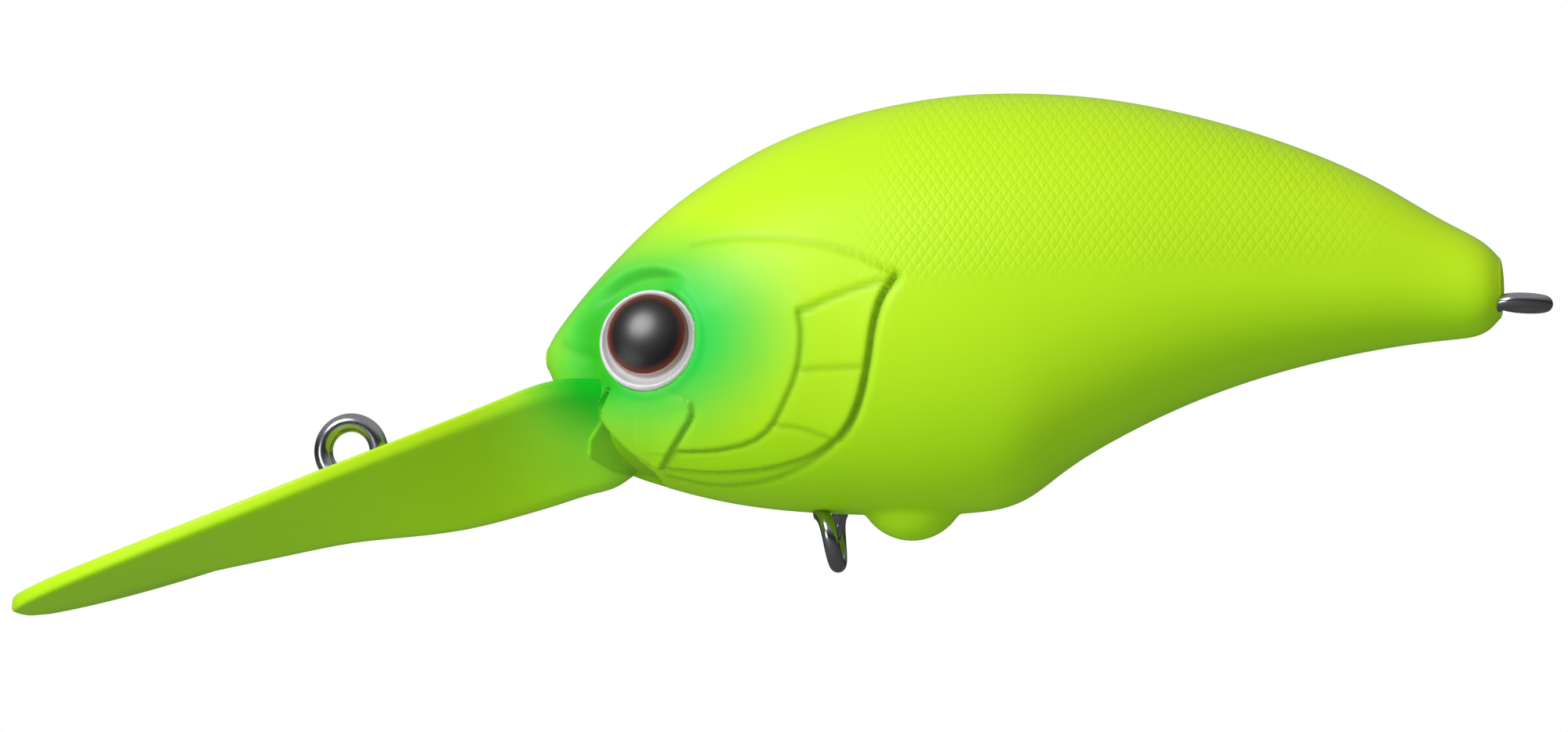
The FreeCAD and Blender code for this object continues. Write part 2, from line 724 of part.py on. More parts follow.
def lens_body(name):
    """A clear cap: flat under its rim, hollowed for the printed pupil, domed above."""
    body = doc.addObject("PartDesign::Body", name)
    sketch = body.newObject("Sketcher::SketchObject", name + "Profile")
    sketch.AttachmentSupport = (origin_plane(body, "XZ_Plane"), [""])
    sketch.MapMode = "FlatFace"
    foil = "Dims.eye_foil_thickness"
    print_top = foil + " + Dims.pupil_thickness"
    crown = print_top + " + Dims.lens_height"
    print_edge = "Dims.pupil_radius + Dims.wire_clearance"
    rim = "Dims.eye_radius"
    corners = [
        ("0", print_top),
        (print_edge, print_top),
        (print_edge, foil),
        (rim, foil),
        (rim, print_top),
    ]
    lines = []
    for index in range(4):
        segment = Part.LineSegment(Vector(index, 0, 0), Vector(index + 1, 0.5, 0))
        lines.append(sketch.addGeometry(segment))
    for index in range(3):
        sketch.addConstraint(
            Sketcher.Constraint("Coincident", lines[index], 2, lines[index + 1], 1)
        )
    for line, (x_expression, y_expression) in zip(lines, corners[:4]):
        pin_point(sketch, line, 1, x_expression, y_expression)
    pin_point(sketch, lines[3], 2, *corners[4])
    dome = quarter_curve(
        sketch,
        [
            (rim, print_top),
            ("%s * 0.86" % rim, "%s + 0.62 * Dims.lens_height" % print_top),
            ("%s * 0.52" % rim, crown),
            ("0", crown),
        ],
    )
    axis = sketch.addGeometry(Part.LineSegment(Vector(0, 2, 0), Vector(0, 1, 0)))
    sketch.addConstraint(Sketcher.Constraint("Coincident", axis, 1, dome, 2))
    sketch.addConstraint(Sketcher.Constraint("Coincident", axis, 2, lines[0], 1))
    turned = body.newObject("PartDesign::Revolution", name + "Turned")
    turned.Profile = sketch
    turned.ReferenceAxis = (sketch, ["V_Axis"])
    turned.Angle = 360
    return body


FOIL_TOP = "Dims.eye_foil_thickness"
PRINT_TOP = "Dims.eye_foil_thickness + Dims.pupil_thickness"
FOIL_OUTLINE = [
    ("0", "0"),
    ("Dims.eye_radius", "0"),
    ("Dims.eye_radius", FOIL_TOP),
    ("0", FOIL_TOP),
]
PRINT_OUTLINE = [
    ("0", FOIL_TOP),
    ("Dims.pupil_radius", FOIL_TOP),
    ("Dims.pupil_radius", PRINT_TOP),
    ("0", PRINT_TOP),
]

eye_parts = {}
eye_sockets = {}
eye_pads = {}
for word, side in (("Left", 1), ("Right", -1)):
    foil = revolved_body("EyeFoil" + word, FOIL_OUTLINE)
    pupil = revolved_body("EyePupil" + word, PRINT_OUTLINE)
    lens = lens_body("EyeLens" + word)
    socket = doc.addObject("Part::Cylinder", "EyeSocket" + word)
    bound(socket, {"Radius": "Dims.eye_radius + Dims.fit_clearance", "Height": "3 * Dims.eye_seat"})
    pad = doc.addObject("Part::Cylinder", "EyePad" + word)
    bound(pad, {"Radius": "Dims.eye_radius + Dims.boss_wall", "Height": "3 * Dims.eye_seat"})
    for obj in (foil, pupil, lens, socket):
        eye_frame(obj, side, "Dims.eye_seat")
    eye_frame(pad, side, "Dims.eye_seat + Dims.boss_wall")
    eye_parts[word] = (foil, pupil, lens)
    eye_sockets[word] = socket
    eye_pads[word] = pad

# ---------------------------------------------------------------- posts and ribs

WIRE_GAP = "(Dims.hanger_wire_radius + Dims.wire_clearance)"
TANG_GAP = "(Dims.tang_half_width + Dims.fit_clearance)"

# Posts on the left half and sockets on the right: name, X, Z, radius, and half the gap
# that stands between the two bosses.
POSTS = [
    ("Tang", TANG_X, TANG_Z, "Dims.tang_post_radius", TANG_GAP),
    ("Belly", BELLY_ANCHOR_X, BELLY_ANCHOR_Z, "Dims.post_radius", WIRE_GAP),
    ("Tail", TAIL_ANCHOR_X, TAIL_ANCHOR_Z, "Dims.post_radius", WIRE_GAP),
    ("Head", along(0.1800), height(0.7000), "Dims.post_radius", "0"),
    ("Shoulder", along(0.6300), height(0.8600), "Dims.post_radius", "0"),
    ("Vent", along(0.5800), height(0.2900), "Dims.post_radius", "0"),
]
SOCKET_RELIEF = "0.3"
posts = []
sockets = []
left_bosses = []
for name, x, z, radius, gap in POSTS:
    reach = "(%s + Dims.post_engagement)" % gap
    across = Vector(0, 1, 0)
    post_length = "%s + %s + 1.0" % (reach, gap)
    posts.append(cylinder(name + "Post", radius, post_length, x, "-" + reach, z, across))
    bore = radius + " + Dims.fit_clearance"
    start = "-(%s + %s)" % (reach, SOCKET_RELIEF)
    depth = "%s + %s" % (reach, SOCKET_RELIEF)
    sockets.append(cylinder(name + "Socket", bore, depth, x, start, z, across))
    wall = radius + " + Dims.boss_wall"
    left_bosses.append(cylinder(name + "Boss", wall, "Dims.body_half_width", x, gap, z, across))

slug_cup = cylinder(
    "SlugCup",
    "Dims.slug_radius + Dims.fit_clearance + Dims.boss_wall",
    "Dims.body_half_width",
    SLUG_X,
    "0.6 * Dims.slug_half_length",
    SLUG_Z,
    Vector(0, 1, 0),
)

# Full bulkheads close the two lengthwise chambers.
RIB_STARTS = [
    ("BackAft", BACK_X + " - Dims.rib_thickness"),
    ("BackFore", BACK_X + " + Dims.back_chamber_length"),
    ("RearAft", REAR_X + " - Dims.rib_thickness"),
    ("RearFore", REAR_X + " + Dims.rear_chamber_length"),
]
ribs = []
for name, x in RIB_STARTS:
    x_to = "%s + Dims.rib_thickness" % x
    ribs.append(box(name + "Rib", x, x_to, "-" + far, far, "-" + far, far))

# ---------------------------------------------------------------- body shells

mirrored_bosses = [mirrored(boss.Name + "Right", boss) for boss in left_bosses + [slug_cup]]
slug_bore = cross_cylinder(
    "SlugBore",
    "Dims.slug_radius + Dims.fit_clearance",
    "Dims.slug_half_length + Dims.fit_clearance",
    SLUG_X,
    SLUG_Z,
)
ball_seat = sphere(
    "BallSeat", "Dims.belly_ball_radius + Dims.fit_clearance", BUMP_X, "0", BUMP_Z
)
tang_room = box(
    "TangRoom",
    TANG_END + " - Dims.fit_clearance",
    "%s + 1.0" % ROOT_END,
    "-" + TANG_GAP,
    TANG_GAP,
    "%s - Dims.fit_clearance" % TANG_FLOOR,
    "%s + Dims.tang_height + Dims.fit_clearance" % TANG_FLOOR,
)
shared_cuts = chamber_bores + [bill_body, tang_room, slug_bore, ball_seat, belly_slot, tail_slot]


def shell(word, outer, cavity, bosses, extra_cuts):
    """One half of the body: the hull less its rooms, seats and sockets."""
    inside = chamber_walls + ribs + bosses + [bump_ball, eye_pads[word]]
    rooms = cut_each("Rooms" + word, cavity, inside)
    wall = cut("Wall" + word, outer, rooms)
    return cut_each("Shell" + word, wall, shared_cuts + [eye_sockets[word]] + extra_cuts)


left_blank = shell("Left", outer_left, cavity_body, left_bosses + [slug_cup], [])
body_shell_left = fuse("BodyShellLeft", [left_blank] + posts)
body_shell_right = shell("Right", outer_right, cavity_right, mirrored_bosses, sockets)
doc.recompute()

# ---------------------------------------------------------------- export

NODES = [
    ("body_shell_left", body_shell_left),
    ("body_shell_right", body_shell_right),
    ("diving_bill", diving_bill),
    ("line_tie_eye", line_tie_eye),
    ("belly_hook_hanger", belly_hanger),
    ("tail_hook_hanger", tail_hanger),
    ("eye_foil_left", eye_parts["Left"][0]),
    ("eye_pupil_left", eye_parts["Left"][1]),
    ("eye_lens_left", eye_parts["Left"][2]),
    ("eye_foil_right", eye_parts["Right"][0]),
    ("eye_pupil_right", eye_parts["Right"][1]),
    ("eye_lens_right", eye_parts["Right"][2]),
    ("throat_ballast_slug", slug),
    ("belly_ballast_ball", belly_ball),
    ("rattle_ball_knocker", knocker),
    ("rattle_ball_midship", midship_ball),
    ("rattle_ball_back", back_ball),
    ("rattle_ball_rear", rear_ball),
    ("rattle_ball_tail", tail_ball),
]

for obj in doc.Objects:
    if "Invalid" in obj.State or "Error" in obj.State:
        raise RuntimeError("%s did not compute: %s" % (obj.Label, obj.State))

os.makedirs("parts", exist_ok=True)
for name, obj in NODES:
    obj.Label = name
    if not obj.Shape.isValid() or len(obj.Shape.Solids) != 1:
        raise RuntimeError("%s is not one valid solid" % name)
    obj.Shape.exportStep("parts/%s.step" % name)
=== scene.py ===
import math

import bmesh
import bpy
import numpy as np
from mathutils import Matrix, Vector
from mathutils.kdtree import KDTree


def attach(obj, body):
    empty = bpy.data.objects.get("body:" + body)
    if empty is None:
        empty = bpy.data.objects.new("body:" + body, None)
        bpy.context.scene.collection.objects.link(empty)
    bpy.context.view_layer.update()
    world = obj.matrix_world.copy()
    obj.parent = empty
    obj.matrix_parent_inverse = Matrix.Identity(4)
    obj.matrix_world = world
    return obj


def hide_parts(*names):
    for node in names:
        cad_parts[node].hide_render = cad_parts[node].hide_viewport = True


# The deep-diving crankbait. The CAD frame gives every place; lengths here are in
# millimetres until a mesh is made, and +X is out of the nose, +Y the lure's left, +Z up.

MM = 0.001
SAME_PLACE = 2e-8  # metres; vertices closer than this are one
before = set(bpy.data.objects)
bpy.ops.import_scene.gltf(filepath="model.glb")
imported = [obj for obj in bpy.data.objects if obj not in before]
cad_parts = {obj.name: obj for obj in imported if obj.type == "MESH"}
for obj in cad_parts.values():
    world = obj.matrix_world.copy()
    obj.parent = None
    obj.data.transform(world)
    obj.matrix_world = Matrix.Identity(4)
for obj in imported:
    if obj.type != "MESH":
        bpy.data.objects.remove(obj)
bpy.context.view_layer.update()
scene = bpy.context.scene

# ---------------------------------------------------------------- the body's form

NOSE_X = -13.0
LENGTH = 60.0
BELLY = -4.4
HEIGHT = 26.6
HALF = 8.8
# Share of the length, then back, belly and waist as shares of the height, and the half width
# as a share of the largest. They are the CAD's sections, but the last two are squarer.
STATIONS = [
    (0.000, 0.410, 0.350, 0.382, 0.145),
    (0.007, 0.436, 0.314, 0.379, 0.265),
    (0.020, 0.476, 0.254, 0.375, 0.390),
    (0.043, 0.540, 0.169, 0.370, 0.528),
    (0.077, 0.623, 0.109, 0.367, 0.666),
    (0.123, 0.721, 0.071, 0.369, 0.783),
    (0.183, 0.818, 0.036, 0.382, 0.884),
    (0.258, 0.905, 0.011, 0.406, 0.964),
    (0.342, 0.964, 0.000, 0.435, 0.997),
    (0.408, 0.990, -0.002, 0.454, 1.000),
    (0.453, 0.999, 0.004, 0.466, 0.990),
    (0.483, 1.000, 0.014, 0.475, 0.976),
    (0.510, 0.999, 0.039, 0.484, 0.960),
    (0.543, 0.995, 0.093, 0.495, 0.933),
    (0.600, 0.980, 0.173, 0.511, 0.875),
    (0.683, 0.940, 0.261, 0.525, 0.763),
    (0.783, 0.868, 0.335, 0.532, 0.607),
    (0.883, 0.763, 0.382, 0.530, 0.453),
    (0.950, 0.672, 0.400, 0.520, 0.355),
    (0.987, 0.622, 0.419, 0.509, 0.293),
    (1.000, 0.592, 0.447, 0.504, 0.216),
]
FULLNESS = 0.58  # control-point share that rounds each quarter of a section
BUMP = (NOSE_X - LENGTH * 0.3867, BELLY + 1.81, 3.46)  # x, z and radius of its sphere
BUMP_BLEND = 0.30
SEAM_DEPTH, SEAM_WIDTH = 0.03, 0.10
WALL = 1.25
WALL_EXTRA = 1.3  # further thickness round the eye sockets
INNER_SHARES = np.linspace(0.075, 0.955, 60)


def spline(knots, values, at):
    """Natural cubic spline through the knots, evaluated at many places."""
    knots = np.asarray(knots, float)
    values = np.asarray(values, float)
    count = len(knots)
    gap = np.diff(knots)
    slope = np.diff(values) / gap
    system = np.eye(count)
    right = np.zeros(count)
    for i in range(1, count - 1):
        system[i, i - 1] = gap[i - 1]
        system[i, i] = 2 * (gap[i - 1] + gap[i])
        system[i, i + 1] = gap[i]
        right[i] = 6 * (slope[i] - slope[i - 1])
    bend = np.linalg.solve(system, right)
    i = np.clip(np.searchsorted(knots, at) - 1, 0, count - 2)
    left = at - knots[i]
    return (
        values[i]
        + left * (slope[i] - gap[i] * (2 * bend[i] + bend[i + 1]) / 6)
        + left**2 * bend[i] / 2
        + left**3 * (bend[i + 1] - bend[i]) / (6 * gap[i])
    )


TABLE = np.array(STATIONS)
# The knots run along the back's own length, so the blunt nose stays smooth.
ROAD = np.r_[
    0,
    np.cumsum(
        np.hypot(np.diff(TABLE[:, 0] * LENGTH), np.diff(TABLE[:, 1] * HEIGHT))
        + 0.5 * np.abs(np.diff(TABLE[:, 4] * HALF))
    ),
]


def sections(share):
    """Back, belly, waist height and half width at these shares of the length."""
    share = np.asarray(share, float)
    dense = np.linspace(0, ROAD[-1], 4000)
    x_dense = spline(ROAD, TABLE[:, 0], dense)
    road = np.interp(share, np.maximum.accumulate(x_dense), dense)
    back = BELLY + HEIGHT * spline(ROAD, TABLE[:, 1], road)
    belly = BELLY + HEIGHT * spline(ROAD, TABLE[:, 2], road)
    waist = BELLY + HEIGHT * spline(ROAD, TABLE[:, 3], road)
    half = HALF * spline(ROAD, TABLE[:, 4], road)
    return back, belly, waist, half


def bezier(a, b, c, d, q):
    """A cubic Bezier curve, coordinate by coordinate."""
    return (1 - q) ** 3 * a + 3 * q * (1 - q) ** 2 * b + 3 * q * q * (1 - q) * c + q**3 * d


def body_grid(shares, around):
    """Points of the left half: rows along the body, columns from the back to the belly."""
    back, belly, waist, half = (v[:, None] for v in sections(shares))
    turn = np.asarray(around)[None, :]
    upper = np.clip(turn, 0, 1)
    lower = np.clip(turn - 1, 0, 1)
    k = FULLNESS
    y_up = bezier(0 * half, k * half, half, half, upper)
    z_up = bezier(back, back, waist + k * (back - waist), waist, upper)
    y_low = bezier(half, half, k * half, 0 * half, lower)
    z_low = bezier(waist, waist + k * (belly - waist), belly, belly, lower)
    y = np.where(turn <= 1, y_up, y_low)
    z = np.where(turn <= 1, z_up, z_low)
    x = np.broadcast_to((NOSE_X - LENGTH * np.asarray(shares))[:, None], y.shape)
    return np.stack([x, y, z], -1)


def grid_normals(points):
    """Unit normals of a grid of points, out of the left half."""
    along = np.gradient(points, axis=0)
    across = np.gradient(points, axis=1)
    normal = np.cross(along, across)
    size = np.linalg.norm(normal, axis=-1, keepdims=True)
    normal = normal / np.maximum(size, 1e-9)
    middle = points.mean(axis=1, keepdims=True) * np.array([1.0, 0.0, 1.0])
    outward = ((points - middle) * normal).sum(-1)
    if np.median(outward) < 0:
        normal = -normal
    return normal


# ---------------------------------------------------------------- small tools


def smoothstep(low, high, value):
    """0 below low, 1 above high, smooth between."""
    t = np.clip((value - low) / (high - low), 0, 1)
    return t * t * (3 - 2 * t)


def bell(value, width):
    """A bump of height 1 and the given half width."""
    return np.exp(-((value / width) ** 2))


def rounded(points, step, cut):
    """A drawn line with its corners eased and its points evenly spaced."""
    line = np.array(points, float)
    for _ in range(cut):
        first = 0.75 * line[:-1] + 0.25 * line[1:]
        second = 0.25 * line[:-1] + 0.75 * line[1:]
        inner = np.stack([first, second], 1).reshape(-1, line.shape[1])
        line = np.vstack([line[:1], inner, line[-1:]])
    run = np.r_[0, np.cumsum(np.linalg.norm(np.diff(line, axis=0), axis=1))]
    count = max(3, int(run[-1] / step))
    places = np.linspace(0, run[-1], count)
    return np.stack([np.interp(places, run, line[:, i]) for i in range(line.shape[1])], 1)


def inside(points, outline):
    """Which of the flat points lie inside a closed outline."""
    x, z = points[..., 0], points[..., 1]
    result = np.zeros(x.shape, bool)
    for (x0, z0), (x1, z1) in zip(outline, np.roll(outline, -1, axis=0)):
        if z0 == z1:
            continue
        crosses = (z0 > z) != (z1 > z)
        result ^= crosses & (x < (x1 - x0) * (z - z0) / (z1 - z0) + x0)
    return result


def make_mesh(name, vertices, faces, attributes=None):
    """A mesh object from millimetre vertices, with optional float attributes."""
    mesh = bpy.data.meshes.new(name)
    mesh.from_pydata((np.asarray(vertices) * MM).tolist(), [], [tuple(f) for f in faces])
    mesh.update()
    mesh.polygons.foreach_set("use_smooth", [True] * len(mesh.polygons))
    for key, values in (attributes or {}).items():
        layer = mesh.attributes.new(key, "FLOAT", "POINT")
        layer.data.foreach_set("value", np.asarray(values, np.float32))
    # Rows that shrink to a point become one vertex, so no empty triangles are left.
    merged = bmesh.new()
    merged.from_mesh(mesh)
    bmesh.ops.remove_doubles(merged, verts=merged.verts, dist=SAME_PLACE)
    merged.to_mesh(mesh)
    merged.free()
    obj = bpy.data.objects.new(name, mesh)
    scene.collection.objects.link(obj)
    return obj


def grid_faces(rows, columns, start=0, flip=False, wrap=False):
    """Quads of a grid whose vertices are stored row by row."""
    faces = []
    last = columns if wrap else columns - 1
    for i in range(rows - 1):
        for j in range(last):
            a = start + i * columns + j
            b = start + i * columns + (j + 1) % columns
            c = b + columns
            d = a + columns
            faces.append((a, d, c, b) if flip else (a, b, c, d))
    return faces


# ---------------------------------------------------------------- carved detail

EYE = np.array([-20.32, 6.35])  # x and z of its middle

GILL_EDGE = [
    (-36.2, 9.8), (-35.3, 8.6), (-34.8, 7.0), (-34.4, 4.4), (-33.9, 2.4), (-33.2, 0.9),
    (-32.2, -0.2), (-30.6, -1.1), (-27.7, -1.8), (-24.3, -1.95), (-21.4, -1.6),
]
GILL_TOP = [(-23.2, 12.3), (-26.5, 12.65), (-31.0, 12.1), (-34.0, 11.1), (-36.1, 9.9)]
CHEEK_TOP = [(-36.1, 9.7), (-33.1, 8.9), (-30.2, 7.7)]
CHEEK_EDGE = [
    (-30.2, 7.7), (-30.4, 6.1), (-30.1, 4.0), (-29.2, 2.1), (-28.3, 0.6), (-26.9, -0.3),
    (-24.5, -0.7), (-22.2, -0.65),
]
THROAT_LINE = [
    (-31.9, -0.5), (-30.6, -1.5), (-29.0, -2.2), (-27.0, -2.7), (-24.1, -2.8), (-21.2, -2.1),
]
CROSS_UPPER = [(-30.2, 4.05), (-32.0, 4.15), (-34.3, 4.25)]
CROSS_LOWER = [(-28.5, 0.75), (-30.2, 0.55), (-32.2, -0.15)]
JAW_EDGE = [(-21.6, 3.0), (-23.2, 2.3), (-23.3, 1.5), (-22.2, 0.1), (-20.8, -1.6)]
JAW_FRONT = [(-17.95, 3.8), (-17.6, 2.7), (-17.0, 1.7), (-17.4, 0.9), (-18.6, -0.4), (-20.1, -1.7)]
COLLAR = [
    (-20.4, -2.1), (-21.4, -4.6), (-13.0, -4.6), (-12.4, 1.0), (-13.4, 2.0), (-15.6, 1.3),
    (-16.6, 2.0), (-17.9, 3.7),
]
NOSTRIL = [(-14.4, 6.2), (-15.4, 5.6), (-16.3, 5.4)]


class Surface:
    """The smooth body, used to place drawn lines and measure distances to them."""

    def __init__(self, points):
        self.points = points.reshape(-1, 3)
        self.flat = KDTree(len(self.points))
        for index, (x, _, z) in enumerate(self.points):
            self.flat.insert((x, z, 0.0), index)
        self.flat.balance()

    def lift(self, line):
        """A side-view line as points on the left flank."""
        placed = []
        for x, z in line:
            index = self.flat.find((x, z, 0.0))[1]
            placed.append((x, self.points[index][1], z))
        return np.array(placed)

    def distance(self, line, limit=6.0):
        """Distance from every surface point to a drawn line."""
        lifted = self.lift(rounded(line, 0.12, 1))
        tree = KDTree(len(lifted))
        for index, point in enumerate(lifted):
            tree.insert(point, index)
        tree.balance()
        low = lifted.min(0) - limit
        high = lifted.max(0) + limit
        near = np.all((self.points > low) & (self.points < high), axis=1)
        result = np.full(len(self.points), limit)
        for index in np.nonzero(near)[0]:
            result[index] = min(limit, tree.find(self.points[index])[2])
        return result


def carve(points):
    """Relief in millimetres along the normal, and masks for the paint and for painted shade."""
    surface = Surface(points)
    flat = surface.points[:, [0, 2]]
    relief = np.zeros(len(flat))
    shade = np.zeros(len(flat))

    def groove(line, depth, width, dark=0.6):
        nonlocal relief, shade
        away = surface.distance(line)
        relief -= depth * bell(away, width)
        # painted shade darkens the paint along each groove
        shade = np.maximum(shade, dark * bell(away, width * 1.3))
        return away

    # Gill cover: a plate whose rear edge stands up and drops off to the flank.
    plate = np.array(GILL_TOP + GILL_EDGE[1:] + [(-19.5, -1.2), (-19.5, 10.5)])
    in_plate = inside(flat, plate)
    away = surface.distance(GILL_EDGE)
    strong = smoothstep(-1.2, 1.0, flat[:, 1]) * 0.55 + 0.45
    step = np.where(in_plate, np.exp(-away / 1.6) * smoothstep(-0.05, 0.22, away), 0.0)
    relief += 0.30 * strong * step
    behind = np.where(in_plate, 0.0, 1.0)
    relief -= 0.20 * strong * behind * bell(away - 0.12, 0.30)
    # painted shadow along the drop behind the gill cover's raised edge
    shade = np.maximum(shade, 0.75 * strong * bell(away - 0.05, 0.26))
    groove(GILL_TOP, 0.07, 0.22, 0.30)

    # Cheek plate inside the gill cover.
    front = [(-19.5, 10.5), (-19.5, -0.6)]
    cheek = CHEEK_TOP[::-1] + [(-36.1, 9.7)] + GILL_TOP[::-1] + front + CHEEK_EDGE[::-1]
    cheek = np.array(cheek)
    in_cheek = inside(flat, cheek)
    away = surface.distance(CHEEK_EDGE)
    step = np.where(in_cheek, np.exp(-away / 1.2) * smoothstep(-0.05, 0.2, away), 0.0)
    relief += 0.13 * step
    groove(CHEEK_EDGE, 0.12, 0.20, 0.62)
    groove(CHEEK_TOP, 0.10, 0.19, 0.55)
    groove(THROAT_LINE, 0.10, 0.24, 0.50)
    groove(CROSS_UPPER, 0.08, 0.18, 0.45)
    groove(CROSS_LOWER, 0.08, 0.18, 0.45)

    # Jaw plate, from the corner of the mouth down to the throat.
    jaw = np.array([(-17.9, 3.9), (-21.6, 3.0)] + JAW_EDGE[1:] + JAW_FRONT[::-1][1:])
    in_jaw = inside(flat, jaw)
    away = surface.distance(JAW_EDGE)
    step = np.where(in_jaw, np.exp(-away / 1.1) * smoothstep(-0.05, 0.2, away), 0.0)
    fade = smoothstep(3.4, 1.6, flat[:, 1])
    relief += 0.24 * step * fade
    relief -= 0.10 * fade * np.where(in_jaw, 0.0, 1.0) * bell(away - 0.1, 0.25)
    # painted shade along the jaw plate's edge
    shade = np.maximum(shade, 0.6 * fade * bell(away, 0.22))

    # Collar: the recessed facet between the jaw plate and the bill, darkened with painted shade.
    collar = np.array(JAW_FRONT + COLLAR)
    in_collar = inside(flat, collar)
    away = surface.distance(JAW_FRONT)
    deep = smoothstep(0.0, 0.30, away)
    relief -= np.where(in_collar, 0.42 * deep, 0.0)
    # painted shade over the collar and along the jaw's front edge
    shade = np.maximum(shade, np.where(in_collar, 0.75 * smoothstep(0.0, 0.25, away), 0.0))
    shade = np.maximum(shade, 0.30 * bell(away, 0.2) * fade)

    # Socket, brow and the hollow round the front of the eye.
    dx = flat[:, 0] - EYE[0]
    dz = flat[:, 1] - EYE[1]
    radius = np.hypot(dx, dz)
    angle = np.degrees(np.arctan2(dz, dx))
    upper = smoothstep(-75, -20, angle) * smoothstep(128, 96, angle)
    outer = 4.55 + 1.3 * smoothstep(60, 5, angle)
    inner = outer - 0.35 - 1.5 * smoothstep(60, 5, angle)
    ring = smoothstep(3.0, 3.3, radius) * smoothstep(outer, inner, radius)
    depth = 0.34 + 0.41 * smoothstep(15, 65, angle)
    relief -= depth * upper * ring
    relief += 0.16 * upper * bell(radius - 4.65, 0.45) * smoothstep(20, 60, angle)
    # painted shade in the hollow round the eye and in the thin gap round the foil ring
    shade = np.maximum(shade, 0.35 * upper * ring)
    shade = np.maximum(shade, 0.9 * bell(radius - 3.24, 0.12))
    rim = bell(radius - 3.5, 0.30)
    relief += 0.10 * rim * (1 - upper)
    relief = np.where(radius < 3.22, relief - 1.6 * smoothstep(3.26, 3.10, radius), relief)

    # Snout: the nose stands over the lip, with a shallow nostril crease behind it.
    groove(NOSTRIL, 0.16, 0.45, 0.25)
    away = surface.distance([(-25.0, 8.0), (-26.2, 6.4), (-26.9, 4.9)])
    relief += 0.05 * bell(away, 0.7)

    green_x = flat[:, 0] + 20.0
    green_z = flat[:, 1] - 6.6
    wide = np.where(green_x < 0, 10.8, 9.0)
    tall = np.where(green_z > 0, 7.5, 7.2)
    reach = np.hypot(green_x / wide, green_z / tall)
    green = smoothstep(1.15, 0.35, reach)
    scales = (
        smoothstep(-33.0, -37.5, flat[:, 0])
        * smoothstep(-69.0, -60.0, flat[:, 0])
        * smoothstep(8.6, 11.0, flat[:, 1] + 0.05 * (flat[:, 0] + 40))
        * smoothstep(0.4, 2.6, surface.points[:, 1])
    )
    shape = points.shape[:2]
    # deep green pooled in the corner of the mouth and in the hollow in front of the eye: partly
    # real paint, partly painted shade in these recesses
    mouth = bell(np.hypot(flat[:, 0] + 17.2, flat[:, 1] - 3.9), 1.5)
    front = 0.85 * upper * ring * smoothstep(60, 10, angle)
    corner = np.maximum(mouth, front) * smoothstep(0.0, 2.0, surface.points[:, 1])
    masks = {"shade": shade, "green": green, "scales": scales, "corner": corner}
    return relief.reshape(shape), {key: value.reshape(shape) for key, value in masks.items()}


def add_bump(points):
    """The ballast bump under the belly, blended into the smooth body."""
    x0, z0, r = BUMP
    flat2 = (points[..., 0] - x0) ** 2 + (1.4 * points[..., 1]) ** 2
    drop = z0 - np.sqrt(np.maximum(r * r - flat2, 0.0))
    near = (flat2 < r * r) & (points[..., 2] < z0)
    body = points[..., 2]
    h = np.clip(0.5 + 0.5 * (body - drop) / BUMP_BLEND, 0, 1)
    merged = body * (1 - h) + drop * h - BUMP_BLEND * h * (1 - h)
    result = points.copy()
    result[..., 2] = np.where(near, np.minimum(body, merged), body)
    return result


def row_shares():
    """Where the rows of the skin lie: close at the nose and head, wider behind."""
    places = [0.0]
    while places[-1] < LENGTH:
        s = places[-1]
        if s < 1.0:
            gap = 0.07
        elif s < 27.0:
            gap = 0.13
        elif s < 57.5:
            gap = 0.27
        else:
            gap = 0.14
        places.append(s + gap)
    places[-1] = LENGTH
    return np.array(places) / LENGTH


def cap_rows(row, count, bulge):
    """Rows that close an end: the outline shrinks to its middle with rounded shoulders."""
    middle = row.mean(0) * np.array([1.0, 0.0, 1.0])
    rows = []
    for step in range(1, count + 1):
        turn = 0.5 * math.pi * step / count
        shrunk = middle + (row - middle) * math.cos(turn)
        shrunk[:, 0] += bulge * math.sin(turn)
        rows.append(shrunk)
    return np.array(rows)


